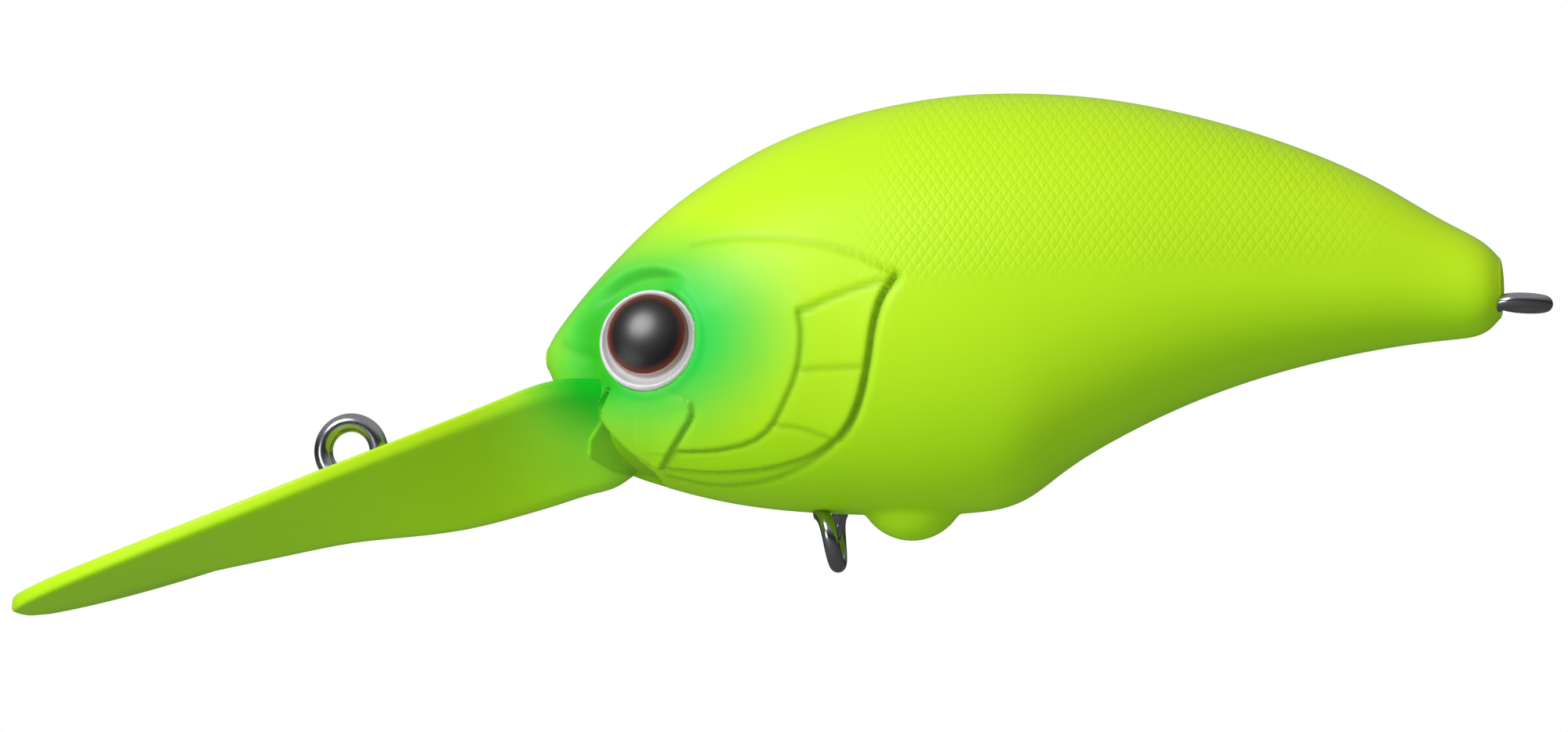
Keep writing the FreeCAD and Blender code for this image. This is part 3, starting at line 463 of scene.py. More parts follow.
def build_half(name, side, node):
    """One painted half of the body as a closed, hollow shell."""
    shares = row_shares()
    around = np.linspace(0, 2, 181)
    smooth = body_grid(shares, around)
    normal = grid_normals(smooth)
    relief, masks = carve(smooth)
    edge = smoothstep(0.0, 0.35, smooth[..., 1])
    skin = smooth + normal * (relief * edge)[..., None]
    skin = add_bump(skin)
    skin[:, 0, 1] = 0.0
    skin[:, -1, 1] = 0.0
    # the moulding seam: a hair-fine line along the middle plane
    seam = bell(smooth[..., 1], SEAM_WIDTH)
    skin -= normal * (SEAM_DEPTH * seam)[..., None]
    cap = 10
    nose = cap_rows(skin[0], cap, 0.20)[::-1]
    tail = cap_rows(skin[-1], cap, -0.30)
    points = np.concatenate([nose, skin, tail])
    ends = ((cap, cap), (0, 0))
    masks = {key: np.pad(grid, ends, mode="edge") for key, grid in masks.items()}
    rows, columns = points.shape[:2]
    vertices = points.reshape(-1, 3)
    faces = grid_faces(rows, columns, flip=side < 0)

    # inner wall: a coarser copy, set in by the wall thickness
    step = 6
    inner_columns = np.arange(0, columns, step)
    wall = body_grid(INNER_SHARES, around[inner_columns])
    wall_normal = grid_normals(wall)
    thick = WALL + WALL_EXTRA * smoothstep(-27.0, -22.0, wall[..., :1])
    wall = wall - wall_normal * thick
    wall[..., 1] = np.maximum(wall[..., 1], 0.0)
    wall[:, 0, 1] = 0.0
    wall[:, -1, 1] = 0.0
    base = len(vertices)
    vertices = np.vstack([vertices, wall.reshape(-1, 3)])
    count_in = len(INNER_SHARES)
    faces += grid_faces(count_in, len(inner_columns), base, flip=side > 0)

    # flat seam face between the outer outline and the inner one
    def outer(i, j):
        return i * columns + j

    def inner(i, j):
        return base + i * len(inner_columns) + j

    outer_loop = [outer(i, 0) for i in range(rows)]
    outer_loop += [outer(i, columns - 1) for i in range(rows - 1, -1, -1)]
    inner_loop = [inner(i, 0) for i in range(count_in)]
    inner_loop += [inner(count_in - 1, j) for j in range(1, len(inner_columns))]
    inner_loop += [inner(i, len(inner_columns) - 1) for i in range(count_in - 2, -1, -1)]
    inner_loop += [inner(0, j) for j in range(len(inner_columns) - 2, 0, -1)]
    faces += zip_loops(vertices, outer_loop, inner_loop, side)
    attributes = {}
    for key, grid in masks.items():
        attributes[key] = np.r_[grid.reshape(-1), np.zeros(len(vertices) - base)]
    vertices = vertices * np.array([1.0, side, 1.0])
    obj = make_mesh(name, vertices, faces, attributes)
    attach(obj, "lure")
    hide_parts(node)
    return obj


def zip_loops(vertices, outer_loop, inner_loop, side):
    """Triangles between two closed loops that run the same way round."""

    def parameter(loop):
        points = vertices[loop]
        centre = vertices[inner_loop].mean(0)
        angle = np.unwrap(np.arctan2(points[:, 2] - centre[2], points[:, 0] - centre[0]))
        return angle

    a = parameter(outer_loop)
    b = parameter(inner_loop)
    turn = np.sign(a[-1] - a[0])
    a = a * turn
    b = b * turn
    shift = np.round((a[0] - b[0]) / (2 * math.pi)) * 2 * math.pi
    b = b + shift
    faces = []
    i = j = 0
    while i < len(outer_loop) or j < len(inner_loop):
        next_a = a[i + 1] if i + 1 < len(a) else a[0] + 2 * math.pi
        next_b = b[j + 1] if j + 1 < len(b) else b[0] + 2 * math.pi
        o = outer_loop[i % len(outer_loop)]
        n = inner_loop[j % len(inner_loop)]
        if j >= len(inner_loop) or (i < len(outer_loop) and next_a <= next_b):
            p = outer_loop[(i + 1) % len(outer_loop)]
            faces.append((o, p, n) if side > 0 else (o, n, p))
            i += 1
        else:
            p = inner_loop[(j + 1) % len(inner_loop)]
            faces.append((o, p, n) if side > 0 else (o, n, p))
            j += 1
    return faces


# ---------------------------------------------------------------- materials


def new_material(name):
    """An empty node material and its output."""
    material = bpy.data.materials.new(name)
    material.use_nodes = True
    tree = material.node_tree
    tree.nodes.clear()
    output = tree.nodes.new("ShaderNodeOutputMaterial")
    shader = tree.nodes.new("ShaderNodeBsdfPrincipled")
    tree.links.new(shader.outputs[0], output.inputs[0])
    return material, tree, shader


def node(tree, kind, values=None, **settings):
    """A shader node with its settings and unlinked input values."""
    item = tree.nodes.new(kind)
    for key, value in settings.items():
        setattr(item, key, value)
    for key, value in (values or {}).items():
        item.inputs[key].default_value = value
    return item


def attribute(tree, name):
    """The factor of one of the mesh's own float attributes."""
    return node(tree, "ShaderNodeAttribute", attribute_name=name).outputs["Fac"]


def maths(tree, operation, first, second=None, clamp=False):
    """A maths node whose inputs are sockets or numbers."""
    item = node(tree, "ShaderNodeMath", operation=operation, use_clamp=clamp)
    for index, value in enumerate((first, second)):
        if value is None:
            continue
        if isinstance(value, (int, float)):
            item.inputs[index].default_value = value
        else:
            tree.links.new(value, item.inputs[index])
    return item.outputs[0]


def mix_colour(tree, factor, first, second):
    """A colour mix; inputs are sockets, or colours as lists."""
    item = node(tree, "ShaderNodeMix", data_type="RGBA")
    for index, value in ((0, factor), (6, first), (7, second)):
        socket = item.inputs[index]
        if isinstance(value, (int, float, tuple)):
            socket.default_value = value
        else:
            tree.links.new(value, socket)
    return item.outputs[2]


def noise(tree, scale, detail=3.0, rough=0.5):
    """Noise in the object's own coordinates, in metres."""
    place = node(tree, "ShaderNodeTexCoord").outputs["Object"]
    item = node(tree, "ShaderNodeTexNoise", {"Scale": scale, "Detail": detail, "Roughness": rough})
    tree.links.new(place, item.inputs["Vector"])
    return item.outputs["Fac"]


CHARTREUSE = (0.54, 0.87, 0.012, 1.0)
# painted shade: the chartreuse as it looks on surfaces that face downwards
CHARTREUSE_UNDERSIDE_SHADE = (0.34, 0.72, 0.0, 1.0)
GREEN = (0.020, 0.64, 0.066, 1.0)
# deep green of the recesses: partly real paint, partly painted shade
DEEP_GREEN_AND_SHADE = (0.0, 0.50, 0.010, 1.0)
SHADE_GREEN = (0.12, 0.36, 0.0, 1.0)
SCALE_LENGTH, SCALE_HEIGHT = 0.00064, 0.00098  # one cell of the lattice, in metres


def centred(tree, value, size):
    """A noise value moved to swing about zero, and scaled."""
    return maths(tree, "MULTIPLY", maths(tree, "SUBTRACT", value, 0.5), size)


def scale_height(tree):
    """Height of the moulded scale lattice, from the object's own coordinates."""
    place = node(tree, "ShaderNodeTexCoord").outputs["Object"]
    parts = node(tree, "ShaderNodeSeparateXYZ")
    tree.links.new(place, parts.inputs[0])
    wander = centred(tree, noise(tree, 420.0, 2.0), 0.9)
    run = maths(tree, "ADD", maths(tree, "MULTIPLY", parts.outputs[0], 1 / SCALE_LENGTH), wander)
    rise = maths(tree, "MULTIPLY", parts.outputs[2], 1 / SCALE_HEIGHT)

    def ridge(operation):
        slant = maths(tree, "MULTIPLY", maths(tree, operation, run, rise), math.pi)
        return maths(tree, "ABSOLUTE", maths(tree, "SINE", slant))

    lattice = maths(tree, "MINIMUM", ridge("ADD"), ridge("SUBTRACT"))
    return maths(tree, "POWER", lattice, 0.55)


def paint_material():
    """Airbrushed satin lure paint: the mesh's attributes say where each colour lies, and where
    shade is painted into it.
    """
    material, tree, shader = new_material("body_paint")
    links = tree.links
    cloud = noise(tree, 90.0, 4.0)
    speck = noise(tree, 1500.0, 2.0)
    facing = node(tree, "ShaderNodeSeparateXYZ")
    links.new(node(tree, "ShaderNodeTexCoord").outputs["Normal"], facing.inputs[0])
    # painted shade: surfaces that face downwards take the darker chartreuse, with random mottling
    # from the cloud noise
    fall = {1: 0.45, 2: -0.85, 3: 0.0, 4: 1.0}
    below = node(tree, "ShaderNodeMapRange", fall, interpolation_type="SMOOTHSTEP")
    links.new(facing.outputs[2], below.inputs[0])
    shade_and_mottle = maths(tree, "ADD", below.outputs[0], centred(tree, cloud, 0.2), clamp=True)
    body = mix_colour(tree, shade_and_mottle, CHARTREUSE, CHARTREUSE_UNDERSIDE_SHADE)
    green = attribute(tree, "green")
    feathered = maths(tree, "ADD", green, centred(tree, cloud, 0.25), clamp=True)
    edge = maths(tree, "MULTIPLY", feathered, maths(tree, "GREATER_THAN", green, 0.001))
    body = mix_colour(tree, edge, body, GREEN)
    # deep green in the mouth corner and the eye hollow: partly pooled paint, partly painted shade
    body = mix_colour(tree, attribute(tree, "corner"), body, DEEP_GREEN_AND_SHADE)
    # painted shade from the shade attribute: grooves, plate edges, recesses, the collar and the
    # cuff
    dark = maths(tree, "MULTIPLY", attribute(tree, "shade"), 0.75, clamp=True)
    body = mix_colour(tree, dark, body, SHADE_GREEN)
    links.new(body, shader.inputs["Base Color"])
    shader.inputs["Specular IOR Level"].default_value = 0.20
    rough = maths(tree, "ADD", 0.38, maths(tree, "MULTIPLY", speck, 0.10))
    links.new(rough, shader.inputs["Roughness"])
    fine = node(tree, "ShaderNodeBump", {"Strength": 0.10, "Distance": 0.00004})
    links.new(speck, fine.inputs["Height"])
    lattice = maths(tree, "MULTIPLY", scale_height(tree), attribute(tree, "scales"))
    relief = node(tree, "ShaderNodeBump", {"Strength": 0.40, "Distance": 0.00008})
    links.new(lattice, relief.inputs["Height"])
    links.new(fine.outputs[0], relief.inputs["Normal"])
    links.new(relief.outputs[0], shader.inputs["Normal"])
    return material


def metal_material(name, colour, roughness, grain):
    """Drawn or polished metal with fine marks."""
    material, tree, shader = new_material(name)
    links = tree.links
    marks = noise(tree, grain, 4.0, 0.6)
    stain = noise(tree, 260.0, 3.0)
    tint = tuple(c * 0.72 for c in colour[:3]) + (1.0,)
    stained = mix_colour(tree, maths(tree, "MULTIPLY", stain, 0.45), colour, tint)
    links.new(stained, shader.inputs["Base Color"])
    shader.inputs["Metallic"].default_value = 1.0
    rough = maths(tree, "ADD", roughness, maths(tree, "MULTIPLY", marks, 0.14))
    links.new(rough, shader.inputs["Roughness"])
    bump = node(tree, "ShaderNodeBump", {"Strength": 0.12, "Distance": 0.00002})
    links.new(marks, bump.inputs["Height"])
    links.new(bump.outputs[0], shader.inputs["Normal"])
    return material


def set_material(obj, material):
    """One material on the whole object."""
    obj.data.materials.clear()
    obj.data.materials.append(material)


# ---------------------------------------------------------------- sections of the bill

BILL_STANDOFF, BILL_SLOPE, BILL_SWEEP = 2.0, 0.402, 0.00265  # the top face's line
BILL_EDGE = 1.0  # thickness of the rim
TIP_START, TIP_REACH = 21.2, 0.86  # where the tip is rounded in side view
BILL = [
    # x, half width, keel below the top line, top below the top line
    (21.90, 1.35, 0.86, 0.0),
    (21.24, 3.22, 1.11, 0.0),
    (19.82, 5.20, 1.27, 0.0),
    (17.52, 7.07, 1.48, 0.0),
    (14.02, 8.79, 1.68, 0.0),
    (9.42, 10.04, 2.17, 0.0),
    (4.38, 10.40, 3.03, 0.0),
    (0.00, 10.14, 3.94, 0.0),
    (-3.90, 9.15, 5.17, 0.0),
    (-7.80, 7.64, 6.36, 0.0),
    (-11.05, 6.29, 7.05, 0.0),
    (-13.78, 5.72, 7.54, 0.25),
    (-15.60, 5.51, 7.87, 0.90),
    (-17.29, 5.20, 8.20, 1.80),
    (-18.80, 4.60, 7.90, 2.60),
    (-20.40, 3.70, 7.60, 3.60),
    (-22.00, 2.70, 7.40, 5.00),
]
# Front edge of the cuff on the bill's flank: x and z, from the keel upwards.
CUFF = [(-21.5, -3.4), (-19.5, -2.3), (-17.2, -1.6), (-15.9, -0.7), (-16.1, 0.3), (-16.9, 1.3)]


def round_corners(corners, radii, arc_points, edge_points):
    """A closed outline with each corner rounded; always the same number of points."""
    count = len(corners)
    outline = []
    ends = []
    for i in range(count):
        here = np.array(corners[i], float)
        before = np.array(corners[i - 1], float) - here
        after = np.array(corners[(i + 1) % count], float) - here
        reach = min(radii[i], 0.42 * np.linalg.norm(before), 0.42 * np.linalg.norm(after))
        start = here + before / np.linalg.norm(before) * reach
        end = here + after / np.linalg.norm(after) * reach
        arc = []
        for q in np.linspace(0, 1, arc_points):
            arc.append((1 - q) ** 2 * start + 2 * q * (1 - q) * here + q * q * end)
        ends.append(arc)
    for i in range(count):
        outline += ends[i]
        start = ends[i][-1]
        stop = ends[(i + 1) % count][0]
        for step in range(1, edge_points[i] + 1):
            outline.append(start + (stop - start) * step / (edge_points[i] + 1))
    return np.array(outline)


def bill_top(x):
    """The top face's line, as in the CAD."""
    return -BILL_STANDOFF - BILL_SLOPE * x + BILL_SWEEP * x * x


def build_bill():
    """The diving bill with eased rims, a flat top and facets down to the keel."""
    table = np.array(BILL)
    run = np.r_[0, np.cumsum(np.hypot(np.diff(table[:, 0]), np.diff(table[:, 1])))]
    places = np.r_[
        np.linspace(0, 8, 50)[:-1],
        np.linspace(8, run[-5], 110)[:-1],
        np.linspace(run[-5], run[-1], 90),
    ]
    x = spline(run, table[:, 0], places)
    half = spline(run, table[:, 1], places)
    depth = spline(run, table[:, 2], places)
    drop = np.maximum(spline(run, table[:, 3], places), 0.0)
    rings = []
    for xi, wi, di, ti in zip(x, half, depth, drop):
        top = bill_top(xi) - ti
        keel = bill_top(xi) - di
        past = max(0.0, (xi - TIP_START) / TIP_REACH)
        thin = 0.5 * (top - keel) * (1 - math.sqrt(max(0.0, 1 - past * past)))
        top, keel, di = top - thin, keel + thin, di - 2 * thin
        rim = top - min(BILL_EDGE, 0.85 * di)
        flat = min(0.8, wi * 0.4)
        corners = [(-wi, top), (wi, top), (wi, rim), (flat, keel), (-flat, keel), (-wi, rim)]
        radii = [0.24, 0.24, 0.46, 0.9, 0.9, 0.46]
        ring = round_corners(corners, radii, 6, [30, 2, 44, 2, 44, 2])
        rings.append(np.c_[np.full(len(ring), xi), ring])
    rings = np.array(rings)
    # ease the tip by closing the first outline towards its middle
    caps = []
    for step in range(1, 6):
        turn = 0.5 * math.pi * step / 5
        middle = rings[0].mean(0)
        cap = middle + (rings[0] - middle) * math.cos(turn)
        cap[:, 0] += 0.14 * math.sin(turn)
        caps.append(cap)
    rings = np.concatenate([np.array(caps)[::-1], rings])
    rows, columns = rings.shape[:2]
    vertices = rings.reshape(-1, 3)
    # paint collects in a low fillet round the foot of the line tie
    foot = np.hypot(vertices[:, 0] + 0.75, vertices[:, 1])
    on_top = vertices[:, 2] > bill_top(vertices[:, 0]) - 0.15
    heel = np.hypot(vertices[:, 0] + 2.0, vertices[:, 1])
    vertices[:, 2] += np.where(on_top, 0.22 * bell(foot, 1.6) + 0.50 * bell(heel, 0.75), 0.0)
    # a raised cuff where the bill enters the chin
    line = np.array(CUFF)
    front = np.interp(vertices[:, 2], line[:, 1], line[:, 0])
    cuff = smoothstep(0.0, -0.22, vertices[:, 0] - front) * smoothstep(2.6, 1.2, vertices[:, 2])
    flank = smoothstep(0.3, 1.2, np.abs(vertices[:, 1]))
    vertices[:, 1] += np.sign(vertices[:, 1]) * 0.42 * cuff * flank
    faces = grid_faces(rows, columns, wrap=True)
    base = len(vertices)
    cuff = np.r_[cuff, 0.0]
    vertices = np.vstack([vertices, rings[-1].mean(0)[None]])
    for j in range(columns):
        faces.append((base - columns + j, base - columns + (j + 1) % columns, base))
    corner = np.hypot(vertices[:, 0] + 17.0, 0.8 * (vertices[:, 2] - 4.2))
    green = 0.50 * smoothstep(8.5, 1.0, corner)
    # deep green at the mouth corner on the bill: partly pooled paint, partly painted shade in the
    # corner
    deep = smoothstep(5.6, 0.8, np.hypot(vertices[:, 0] + 16.8, 1.2 * (vertices[:, 2] - 3.8)))
    # painted shade on the cuff where the bill enters the chin
    masks = {"green": green, "shade": 0.75 * cuff, "scales": 0 * green, "corner": deep}
    obj = make_mesh("bill", vertices, faces, masks)
    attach(obj, "lure")
    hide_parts("diving_bill")
    return obj


# ---------------------------------------------------------------- wire forms


def tube(name, path, radius, sides=28):
    """A round bar along a path, with rounded ends."""
    path = np.asarray(path, float)
    run = np.r_[0, np.cumsum(np.linalg.norm(np.diff(path, axis=0), axis=1))]
    tangent = np.gradient(path, run, axis=0)
    tangent /= np.linalg.norm(tangent, axis=1, keepdims=True)
    side = np.cross(tangent[0], [0.3, 0.9, 0.2])
    side /= np.linalg.norm(side)
    rings = []
    angles = np.linspace(0, 2 * math.pi, sides, endpoint=False)
    for point, direction in zip(path, tangent):
        side = side - direction * (side @ direction)
        side /= np.linalg.norm(side)
        other = np.cross(direction, side)
        circle = np.cos(angles)[:, None] * side + np.sin(angles)[:, None] * other
        rings.append(point + radius * circle)
    for end, sign in ((0, -1), (-1, 1)):
        centre, direction, ring = path[end], tangent[end], rings[end]
        caps = []
        for step in range(1, 5):
            turn = 0.5 * math.pi * step / 4
            stand = sign * direction * radius * 0.35 * math.sin(turn)
            caps.append(centre + (ring - centre) * math.cos(turn) + stand)
        if end == 0:
            first = caps[::-1]
        else:
            last = caps
    rings = np.array(first + rings + last)
    faces = grid_faces(rings.shape[0], sides, wrap=True)
    return make_mesh(name, rings.reshape(-1, 3), faces)


def eyelet_path(centre, down, across, loop, wire, stem, twist):
    """One wire: up one strand, round the loop and down the other strand.

    down points from the loop to its anchor, across lies in the loop's plane, and the
    strands lie side by side along the loop's normal or turn to it."""
    down = np.array(down, float)
    across = np.array(across, float)
    normal = np.cross(down, across)
    gap = wire * 1.04
    points = []
    reach = math.radians(twist)
    for step in np.linspace(0, 1, 90):
        angle = -math.pi / 2 + reach + (2 * math.pi - 2 * reach) * step
        lean = (2 * step - 1) ** 5 * gap
        spot = loop * (math.cos(angle) * across - math.sin(angle) * down)
        points.append(np.array(centre) + spot + lean * normal)
    first, last = [], []
    for end, keep in ((points[0], first), (points[-1], last)):
        start = end - centre
        side_part = start @ across
        normal_part = start @ normal
        depth = start @ down
        for step in np.linspace(0, 1, 16)[1:]:
            ease = 1 - (1 - step) ** 2
            keep.append(
                np.array(centre)
                + across * side_part * (1 - ease)
                + normal * normal_part
                + down * (depth + stem * step)
            )
    return np.array(first[::-1] + points + last)


def build_wires(material):
    """The line tie and the two hook hangers."""
    slope = math.atan(BILL_SLOPE)
    tie_down = (-math.sin(slope), 0.0, -math.cos(slope))
    tie_across = (math.cos(slope), 0.0, -math.sin(slope))
    lean = math.radians(8.0)
    dip = math.radians(3.5)
    wires = [
        ("line_tie", "line_tie_eye", (0, 0, 0), tie_down, tie_across, 1.8, 0.6, 1.9, 24),
        (
            "belly_hanger", "belly_hook_hanger", (-31.24, 0, -5.8),
            (math.sin(lean), 0, math.cos(lean)), (0, 1, 0), 1.75, 0.5, 3.6, 30,
        ),
        (
            "tail_hanger", "tail_hook_hanger", (-74.05, 0, 8.50),
            (math.cos(dip), 0, math.sin(dip)), (0, 1, 0), 1.75, 0.5, 3.6, 30,
        ),
    ]
    for name, cad, centre, down, across, loop, wire, stem, twist in wires:
        path = eyelet_path(centre, down, across, loop, wire, stem, twist)
        obj = tube(name, path, wire)
        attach(obj, "lure")
        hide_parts(cad)
        set_material(obj, material)


# ---------------------------------------------------------------- eyes

EYE_YAW, EYE_PITCH = 9.0, 8.0  # degrees, towards the nose and upwards
EYE_SHARE, EYE_RISE, EYE_OUT = 0.122, 0.404, 6.75
EYE_SEAT = 1.5  # socket floor below the eye's reference point
PUPIL_SHIFT = (0.08, 0.32)  # forwards and upwards
FOIL_PROFILE = [
    (0.01, 0.0), (3.20, 0.0), (3.24, 0.10), (3.24, 1.00), (3.17, 1.20), (3.02, 1.26),
    (2.84, 1.15), (2.5, 0.85), (0.01, 0.75),
]
EYE_SIDES = 96


def eye_axes(side):
    """Centre of the socket floor and the eye's outward, forward and upward directions."""
    yaw, pitch = math.radians(EYE_YAW), math.radians(EYE_PITCH)
    level = math.cos(pitch)
    out = np.array([math.sin(yaw) * level, side * math.cos(yaw) * level, math.sin(pitch)])
    up = np.array([0, 0, 1.0]) - out * out[2]
    up /= np.linalg.norm(up)
    fore = np.cross(out, up) * side
    place = [NOSE_X - LENGTH * EYE_SHARE, side * EYE_OUT, BELLY + HEIGHT * EYE_RISE]
    centre = np.array(place) - EYE_SEAT * out
    return centre, out, fore, up


def turned(name, profile, side, shift=(0.0, 0.0)):
    """A closed turned piece on the eye's axis from (radius, height) pairs, moved by shift."""
    centre, out, fore, up = eye_axes(side)
    centre = centre + fore * shift[0] + up * shift[1]
    angles = np.linspace(0, 2 * math.pi, EYE_SIDES, endpoint=False)
    circle = np.cos(angles)[:, None] * fore + np.sin(angles)[:, None] * up
    rings = []
    for radius, height in profile:
        rings.append(centre + out * height + radius * circle)
    rings = np.array(rings)
    flip = side > 0
    faces = grid_faces(len(profile), EYE_SIDES, wrap=True, flip=flip)
    order = list(range(EYE_SIDES)) if flip else list(range(EYE_SIDES))[::-1]
    last = (len(profile) - 1) * EYE_SIDES
    faces.append(tuple(order))
    faces.append(tuple(last + index for index in order[::-1]))
    return make_mesh(name, rings.reshape(-1, 3), faces)


def dome(radius, start, height, count):
    """Profile of a dome from its rim to its crown."""
    result = []
    for step in range(count + 1):
        turn = 0.5 * math.pi * step / count
        result.append((max(radius * math.cos(turn), 0.002), start + height * math.sin(turn)))
    return result


def build_eyes():
    """Bright foil ring, printed pupil and clear dome, on both sides."""
    foil_mat, tree, shader = new_material("eye_foil")
    ripple = noise(tree, 2400.0, 3.0)
    silver = mix_colour(tree, ripple, (0.90, 0.91, 0.92, 1), (0.74, 0.76, 0.78, 1))
    tree.links.new(silver, shader.inputs["Base Color"])
    shader.inputs["Metallic"].default_value = 0.30
    shader.inputs["Roughness"].default_value = 0.34
    bump = node(tree, "ShaderNodeBump", {"Strength": 0.1, "Distance": 0.00002})
    tree.links.new(ripple, bump.inputs["Height"])
    tree.links.new(bump.outputs[0], shader.inputs["Normal"])

    pupil_mat, tree, shader = new_material("eye_pupil")
    edge = attribute(tree, "edge")
    cloud = noise(tree, 700.0, 4.0)
    patchy = maths(tree, "ADD", 0.7, maths(tree, "MULTIPLY", cloud, 0.6))
    mottled = maths(tree, "MULTIPLY", edge, patchy, clamp=True)
    print_colour = mix_colour(tree, mottled, (0.008, 0.008, 0.009, 1), (0.20, 0.035, 0.018, 1))
    tree.links.new(print_colour, shader.inputs["Base Color"])
    shader.inputs["Roughness"].default_value = 0.40
    shader.inputs["Specular IOR Level"].default_value = 0.15

    lens_mat, tree, shader = new_material("eye_lens")
    smear = noise(tree, 400.0, 3.0)
    gloss = node(tree, "ShaderNodeBsdfGlossy", {"Color": (1, 1, 1, 1)})
    rough = maths(tree, "ADD", 0.20, maths(tree, "MULTIPLY", smear, 0.10))
    tree.links.new(rough, gloss.inputs["Roughness"])
    clear = node(tree, "ShaderNodeBsdfTransparent")
    mixed = node(tree, "ShaderNodeMixShader")
    facing = node(tree, "ShaderNodeFresnel", {"IOR": 1.5}).outputs[0]
    tree.links.new(maths(tree, "MULTIPLY", facing, 0.50), mixed.inputs[0])
    tree.links.new(clear.outputs[0], mixed.inputs[1])
    tree.links.new(gloss.outputs[0], mixed.inputs[2])
    tree.links.new(mixed.outputs[0], tree.nodes["Material Output"].inputs[0])
    tree.nodes.remove(shader)

    for word, side in (("left", 1), ("right", -1)):
        foil = turned("eye_ring_" + word, FOIL_PROFILE, side)
        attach(foil, "lure")
        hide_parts("eye_foil_" + word)
        set_material(foil, foil_mat)
        profile = [(0.01, 0.82), (2.62, 0.82), (2.66, 0.95)] + dome(2.66, 1.0, 0.80, 18)
        pupil = turned("pupil_" + word, profile, side, PUPIL_SHIFT)
        radii = np.repeat([p[0] for p in profile], EYE_SIDES)
        layer = pupil.data.attributes.new("edge", "FLOAT", "POINT")
        layer.data.foreach_set("value", smoothstep(2.05, 2.6, radii).astype(np.float32))
        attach(pupil, "lure")
        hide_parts("eye_pupil_" + word)
        set_material(pupil, pupil_mat)
        profile = [(0.01, 1.26), (2.96, 1.26)] + dome(3.06, 1.28, 1.05, 24)
        lens = turned("eye_dome_" + word, profile, side)
        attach(lens, "lure")
        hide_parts("eye_lens_" + word)
        set_material(lens, lens_mat)


# ---------------------------------------------------------------- assemble

body_paint = paint_material()
wire_metal = metal_material("wire_steel", (0.44, 0.45, 0.48, 1.0), 0.10, 1800.0)
slug_metal = metal_material("slug_metal", (0.42, 0.42, 0.44, 1.0), 0.42, 700.0)
ball_metal = metal_material("ball_steel", (0.66, 0.67, 0.68, 1.0), 0.10, 900.0)

for word, side in (("left", 1), ("right", -1)):
    half = build_half("skin_" + word, side, "body_shell_" + word)
    set_material(half, body_paint)
set_material(build_bill(), body_paint)
build_wires(wire_metal)
build_eyes()
set_material(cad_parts["throat_ballast_slug"], slug_metal)
set_material(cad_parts["belly_ballast_ball"], ball_metal)
for word in ("knocker", "midship", "back", "rear", "tail"):
    set_material(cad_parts["rattle_ball_" + word], ball_metal)

# ---------------------------------------------------------------- stage, light, camera

# The camera sees a plain pale background; reflections and bounced light see a softer studio.
SKY_LEVEL = 0.36
SKY_SLOPE = 0.04
FLOOR_Z = -0.062
CAMERA_YAW, CAMERA_ELEVATION = 8.0, -5.0  # degrees, towards the tail and upwards
CAMERA_DISTANCE, CAMERA_FIELD = 310.0, 100.6  # millimetres
CAMERA_AIM = Vector((-0.02757, -0.0034, 0.00541))
SENSOR = 36.0

floor_mat, tree, shader = new_material("floor")
grain = noise(tree, 30.0, 3.0)
pale = mix_colour(tree, grain, (0.90, 0.90, 0.90, 1), (0.86, 0.86, 0.86, 1))
path = node(tree, "ShaderNodeLightPath")
bounce = mix_colour(tree, path.outputs["Is Camera Ray"], (0.78, 0.78, 0.78, 1), pale)
bounce = mix_colour(tree, path.outputs["Is Glossy Ray"], bounce, (0.16, 0.16, 0.16, 1))
tree.links.new(bounce, shader.inputs["Base Color"])
shader.inputs["Emission Color"].default_value = (1, 1, 1, 1)
glow = maths(tree, "MULTIPLY", path.outputs["Is Camera Ray"], 0.32)
tree.links.new(glow, shader.inputs["Emission Strength"])
shader.inputs["Roughness"].default_value = 0.8
bpy.ops.mesh.primitive_plane_add(size=6.0, location=(0, 0, FLOOR_Z))
floor = bpy.context.object
floor.name = "floor"
set_material(floor, floor_mat)

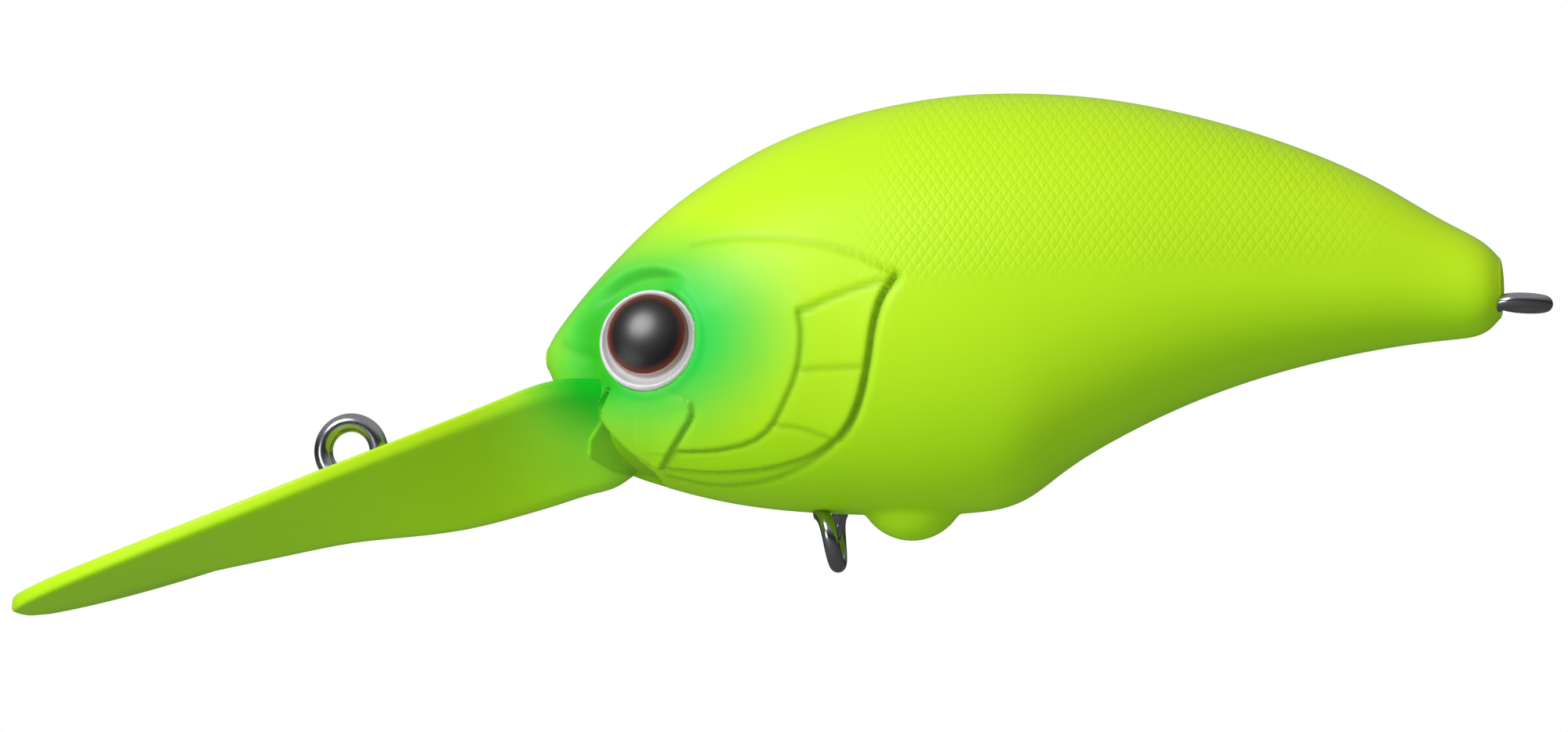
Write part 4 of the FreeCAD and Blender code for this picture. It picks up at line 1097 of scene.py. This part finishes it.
world = bpy.data.worlds.new("studio")
scene.world = world
world.use_nodes = True
sky = world.node_tree
seen = node(sky, "ShaderNodeLightPath").outputs["Is Camera Ray"]
upward = node(sky, "ShaderNodeSeparateXYZ")
sky.links.new(node(sky, "ShaderNodeTexCoord").outputs["Generated"], upward.inputs[0])
rising = maths(sky, "MULTIPLY", upward.outputs[2], SKY_SLOPE)
glow = maths(sky, "ADD", SKY_LEVEL, rising, clamp=True)
overhead = {1: 0.10, 2: 0.75, 3: 0.04, 4: 0.48}
panel = node(sky, "ShaderNodeMapRange", overhead, interpolation_type="SMOOTHSTEP")
sky.links.new(upward.outputs[2], panel.inputs[0])
mirrored = node(sky, "ShaderNodeLightPath").outputs["Is Glossy Ray"]
plain = maths(sky, "MULTIPLY", glow, maths(sky, "SUBTRACT", 1.0, mirrored))
studio = maths(sky, "ADD", plain, maths(sky, "MULTIPLY", panel.outputs[0], mirrored))
strength = maths(sky, "MAXIMUM", studio, seen)
sky.nodes["Background"].inputs[0].default_value = (1, 1, 1, 1)
sky.links.new(strength, sky.nodes["Background"].inputs[1])


def area_light(name, place, target, size, energy):
    """A soft round light aimed at a point, in metres."""
    data = bpy.data.lights.new(name, "AREA")
    data.shape = "ELLIPSE"
    data.size = size[0]
    data.size_y = size[1]
    data.energy = energy
    obj = bpy.data.objects.new(name, data)
    scene.collection.objects.link(obj)
    obj.location = place
    obj.rotation_euler = (Vector(target) - Vector(place)).to_track_quat("-Z", "Y").to_euler()
    return obj


middle = (-0.028, 0.0, 0.004)
area_light("key", (0.20, 0.36, 0.245), middle, (0.16, 0.16), 1.55)
area_light("fill", (0.26, 0.32, -0.03), (0.0, 0.0, 0.0), (0.20, 0.20), 0.30)

yaw, elevation = math.radians(CAMERA_YAW), math.radians(CAMERA_ELEVATION)
level = math.cos(elevation)
direction = Vector((-math.sin(yaw) * level, math.cos(yaw) * level, math.sin(elevation)))
camera_data = bpy.data.cameras.new("camera")
camera = bpy.data.objects.new("camera", camera_data)
scene.collection.objects.link(camera)
camera.location = CAMERA_AIM + direction * CAMERA_DISTANCE * MM
camera.rotation_euler = (-direction).to_track_quat("-Z", "Y").to_euler()
camera_data.sensor_width = SENSOR
camera_data.lens = SENSOR * CAMERA_DISTANCE / CAMERA_FIELD
camera_data.dof.use_dof = False
camera_data.clip_start = 0.01
scene.camera = camera
scene.view_settings.view_transform = "Standard"
